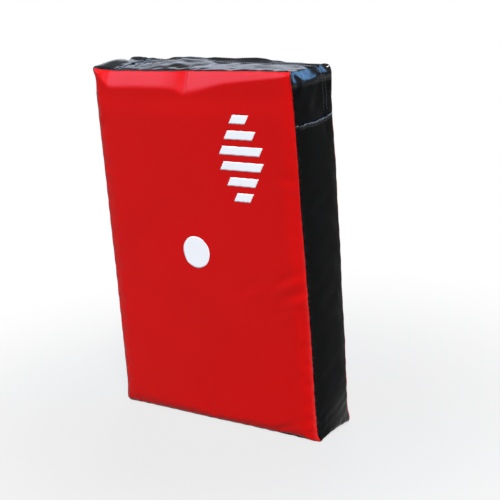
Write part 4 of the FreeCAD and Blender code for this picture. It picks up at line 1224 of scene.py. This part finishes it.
refinish(black, *(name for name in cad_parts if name.startswith("inner_patch")))
for name in strap_patches:
    x, z, edge = (part[:, ::-1] for part in round_patch(name, 26, 34))
    y = STRAP_BASE + 0.00005 * np.sin(x * 400) * np.sin(z * 310) - 0.00012 * hump(edge, 0.003, 0.0012)
    sheet_piece(
        name.replace("strap_patch", "patch"), joined(x, y, z), black, name, "black_vinyl",
        PATCH_THICK, worn=np.exp(-edge / 0.002),
    )

# ---------------------------------------------------------------- stitching
# Bonded black thread: a row along each lip of the zip and each hem, a box and cross through each end
# of a strap, and rows round the patches and the ends of the grips.

thread = Finish("bonded_thread", roughness=0.5, specular_ior_level=0.4)
twist = thread.noise(thread.place(), 2600.0)
thread.set(base_color=twist.tint((0.006, 0.006, 0.007), (0.05, 0.05, 0.055)))
thread.bump(twist * 0.3, 0.0003, 0.8)

GAP, THREAD_THICK = 0.0013, 0.0008
THREAD_SIDES = 6
OUT_LIFT = 0.00018          # a line of stitches starts so far above the cloth


def stitches(name, line, out, long=0.0034, node=None):
    """Separate stitches along a line: each a thread that rises from the cloth, lies flat and dips in.

    With t from 0 to 1 along a stitch and k = 2 t - 1, its middle is lifted by
    THREAD_THICK * (1 - k^4) / 3 and its radius is THREAD_THICK / 2 * sqrt(1 - k^6)."""
    out = np.broadcast_to(out, line.shape)
    reach = np.concatenate([[0], np.cumsum(np.linalg.norm(np.diff(line, axis=0), axis=1))])
    count = max(1, int(reach[-1] / (long + GAP)))
    step = reach[-1] / count
    t = np.array([0, 0.08, 0.28, 0.5, 0.72, 0.92, 1])       # where its rings of points are
    where = (np.arange(count) * step + (step - long) / 2)[:, None] + t * long

    def at(values, places):
        """What values, one for each point of the line, come to at lengths along it."""
        return np.stack([np.interp(places, reach, values[:, k]) for k in range(3)], -1)

    middle, up = at(line, where), at(out, where)
    run = at(line, where + 0.0004) - at(line, where - 0.0004)
    run /= np.linalg.norm(run, axis=-1, keepdims=True) + 1e-12
    across = np.cross(run, up)
    across /= np.linalg.norm(across, axis=-1, keepdims=True) + 1e-12
    swing = np.random.default_rng(len(name)).normal(0, 0.00008, (count, 1, 1)) * across
    lifted = middle + swing + up * (THREAD_THICK / 3 * (1 - (2 * t - 1) ** 4) - 0.0001)[:, None]
    radius = THREAD_THICK / 2 * np.sqrt(1 - (2 * t - 1) ** 6)
    a = np.arange(THREAD_SIDES) * 2 * math.pi / THREAD_SIDES
    ring = up[..., None, :] * np.sin(a)[:, None] + across[..., None, :] * np.cos(a)[:, None]
    points = lifted[..., None, :] + ring * radius[:, None, None]
    number = np.arange(points.size // 3).reshape(points.shape[:-1])
    number = np.concatenate([number, number[..., :1]], -1)
    corners = (number[:, :-1, :-1], number[:, 1:, :-1], number[:, 1:, 1:], number[:, :-1, 1:])
    made = mesh_object(name, points, np.stack(corners, -1).reshape(-1, 4).tolist())
    tidy = bmesh.new()
    tidy.from_mesh(made.data)
    bmesh.ops.remove_doubles(tidy, verts=tidy.verts, dist=1e-6)
    bmesh.ops.recalc_face_normals(tidy, faces=tidy.faces)
    tidy.to_mesh(made.data)
    tidy.free()
    made.data.shade_smooth()
    declared(made, thread, node, finer=False)


for side, row in (("front", STITCH_FRONT), ("rear", STITCH_REAR)):
    line, out = strip[4:-4, row], strip_out[4:-4, row]
    stitches(f"zip_seam_{side}", line + out * OUT_LIFT, out, node=f"zip_stitching_{side}")

HEM_INSET = 0.005           # from the hem's edge to its stitches
hem_places = np.stack([SIDE_HEM_PATH + wave_side - HEM_INSET, TOP_HEM_PATH + wave_top + HEM_INSET])
hem_line, hem_out = boxing_at(hem_places)
proud = np.array(HEM_PROUD[::-1])[:, None] * math.exp(-HEM_INSET / HEM_FADE)
hem_line = hem_line + hem_out * (proud * free + OUT_LIFT)[..., None]
stitches("side_hem_seam", hem_line[0, 5:-5], hem_out[0, 5:-5], node="hem_stitching")
stitches("top_hem_seam", hem_line[1, 5:-5], hem_out[1, 5:-5])

ANCHOR = 0.066              # length of a strap's flat end
ANCHOR_MIDDLE = HALF_SPAN + ANCHOR / 2
box_half = (STRAP_WIDE / 2 - 0.005, 0.027)
corners = np.array([(-1, -1), (1, -1), (1, 1), (-1, 1), (-1, -1)]) * box_half
lines = {"box": corners, "rise": corners[[0, 2]], "fall": corners[[1, 3]]}
for hand, middle in STRAP_X.items():
    for end, level in (("low", STRAP_MIDDLE - ANCHOR_MIDDLE), ("high", STRAP_MIDDLE + ANCHOR_MIDDLE)):
        for kind, line in lines.items():
            y = np.full(len(line), STRAP_BASE + STRAP_THICK + 0.0001)
            line = joined(line[:, 0] + middle, y, line[:, 1] + level)
            node = "strap_stitching" if kind == "box" else None
            stitches(f"{kind}_{end}_{hand}", line, (0, 1, 0), node=node)
    for end, ring in (("low", 2), ("high", -3)):
        line = np.concatenate([grip_rings[hand][ring], grip_rings[hand][ring, :1]])
        away = line - line[:-1].mean(0)
        away /= np.linalg.norm(away, axis=1)[:, None]
        stitches(f"grip_seam_{end}_{hand}", line + away * OUT_LIFT, away)

PATCH_SEAM = 0.003          # from a patch's edge to its stitches
turn = np.linspace(0, 2 * math.pi, 97)
small = PATCH_ROUND - PATCH_SEAM
for name in strap_patches:
    middle_x, middle_z, half_wide, half_tall = plate_of(name)
    x = np.sign(np.cos(turn)) * (half_wide - PATCH_ROUND) + small * np.cos(turn)
    z = np.sign(np.sin(turn)) * (half_tall - PATCH_ROUND) + small * np.sin(turn)
    line = joined(x + middle_x, np.full(len(turn), STRAP_BASE + 0.00005), z + middle_z)
    stitches(name.replace("strap_patch", "patch_seam"), line, (0, 1, 0), long=0.003)
